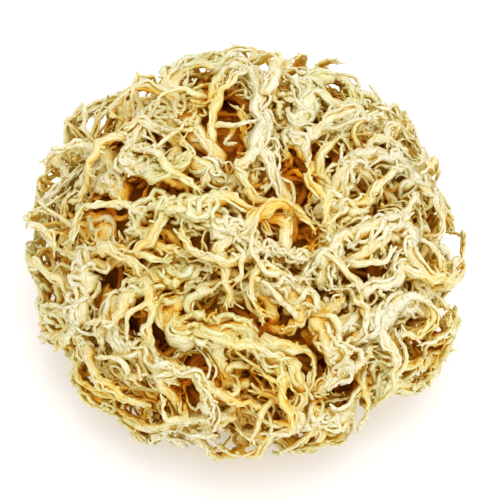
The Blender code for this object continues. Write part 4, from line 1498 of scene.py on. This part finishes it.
# The studio: the photo's scale and middle, a long lens, and soft light from the upper left
METRES_PER_PIXEL = 0.000367
PHOTO_SIDE = 500
PHOTO_MIDDLE = (246, 245)
LENS = 160.0
SENSOR = 36.0
CLIP_START = 0.05
WORLD_LIGHT = 1.06
WORLD_COLOUR = (1.0, 0.972, 0.915, 1)
KEY = dict(place=(0.10, 0.12, 1.25), size=0.80, power=4.7, colour=(1.0, 0.98, 0.95))
FILL = dict(place=(0.55, -0.75, 0.65), size=0.8, power=2.2, colour=(1.0, 1.0, 1.0))
FLOOR_SIDE = 4
FLOOR_PAINT = {
    "Base Color": (0.93, 0.93, 0.93, 1),
    "Roughness": 0.9,
    "Emission Color": (1, 1, 1, 1),
    "Emission Strength": 0.14,
}

# The photo's green and blue are low in the shade and high in the light: levels, and what they are shown as
GREEN_CURVE = ((0.20, 0.18), (0.50, 0.485))
BLUE_CURVE = ((0.10, 0.045), (0.30, 0.21), (0.50, 0.44), (0.70, 0.69), (0.85, 0.87))


def aimed(obj, place, target):
    """Puts a light or the camera at a place, turned to a target."""
    obj.location = place
    obj.rotation_euler = (Vector(target) - Vector(place)).to_track_quat("-Z", "Y").to_euler()
    bpy.context.scene.collection.objects.link(obj)


def soft_light(name, target, place, size, power, colour):
    light = bpy.data.lights.new(name, "AREA")
    light.size = size
    light.energy = power
    light.color = colour
    aimed(bpy.data.objects.new(name, light), place, target)


def make_floor():
    """A plain pale floor that glows a little."""
    bpy.ops.mesh.primitive_plane_add(size=FLOOR_SIDE)
    floor = bpy.context.object
    floor.name = "floor"
    paint = bpy.data.materials.new("floor_paint")
    paint.use_nodes = True
    for key, value in FLOOR_PAINT.items():
        paint.node_tree.nodes["Principled BSDF"].inputs[key].default_value = value
    floor.data.materials.append(paint)


def make_lights(middle):
    world = bpy.data.worlds.new("studio")
    world.use_nodes = True
    background = world.node_tree.nodes["Background"]
    background.inputs["Color"].default_value = WORLD_COLOUR
    background.inputs["Strength"].default_value = WORLD_LIGHT
    bpy.context.scene.world = world
    soft_light("key", middle, **KEY)
    soft_light("fill", middle, **FILL)


def make_camera(middle):
    """The camera at the photo's viewing angle, and the curves of the display."""
    camera = bpy.data.objects.new("camera", bpy.data.cameras.new("camera"))
    camera.data.lens = LENS
    camera.data.sensor_width = SENSOR
    camera.data.clip_start = CLIP_START
    aside = PHOTO_SIDE / 2 - PHOTO_MIDDLE[0]
    below = PHOTO_SIDE / 2 - PHOTO_MIDDLE[1]
    target = middle + METRES_PER_PIXEL * (np.array([aside, 0, 0]) - below * UPWARD)
    distance = PHOTO_SIDE * METRES_PER_PIXEL * LENS / SENSOR
    aimed(camera, target - FORWARD * distance, target)
    bpy.context.scene.camera = camera
    settings = bpy.context.scene.view_settings
    settings.view_transform = "Standard"
    settings.use_curve_mapping = True
    for number, curve in ((1, GREEN_CURVE), (2, BLUE_CURVE)):
        for level, shown in curve:
            settings.curve_mapping.curves[number].points.new(level, shown)
    settings.curve_mapping.update()


tangle = grow_clump()
shift = footprint_middle(tangle)
make_fronds(tangle, shift)
make_floor()
make_lights(OUTLINE_MIDDLE - shift)
make_camera(OUTLINE_MIDDLE - shift)
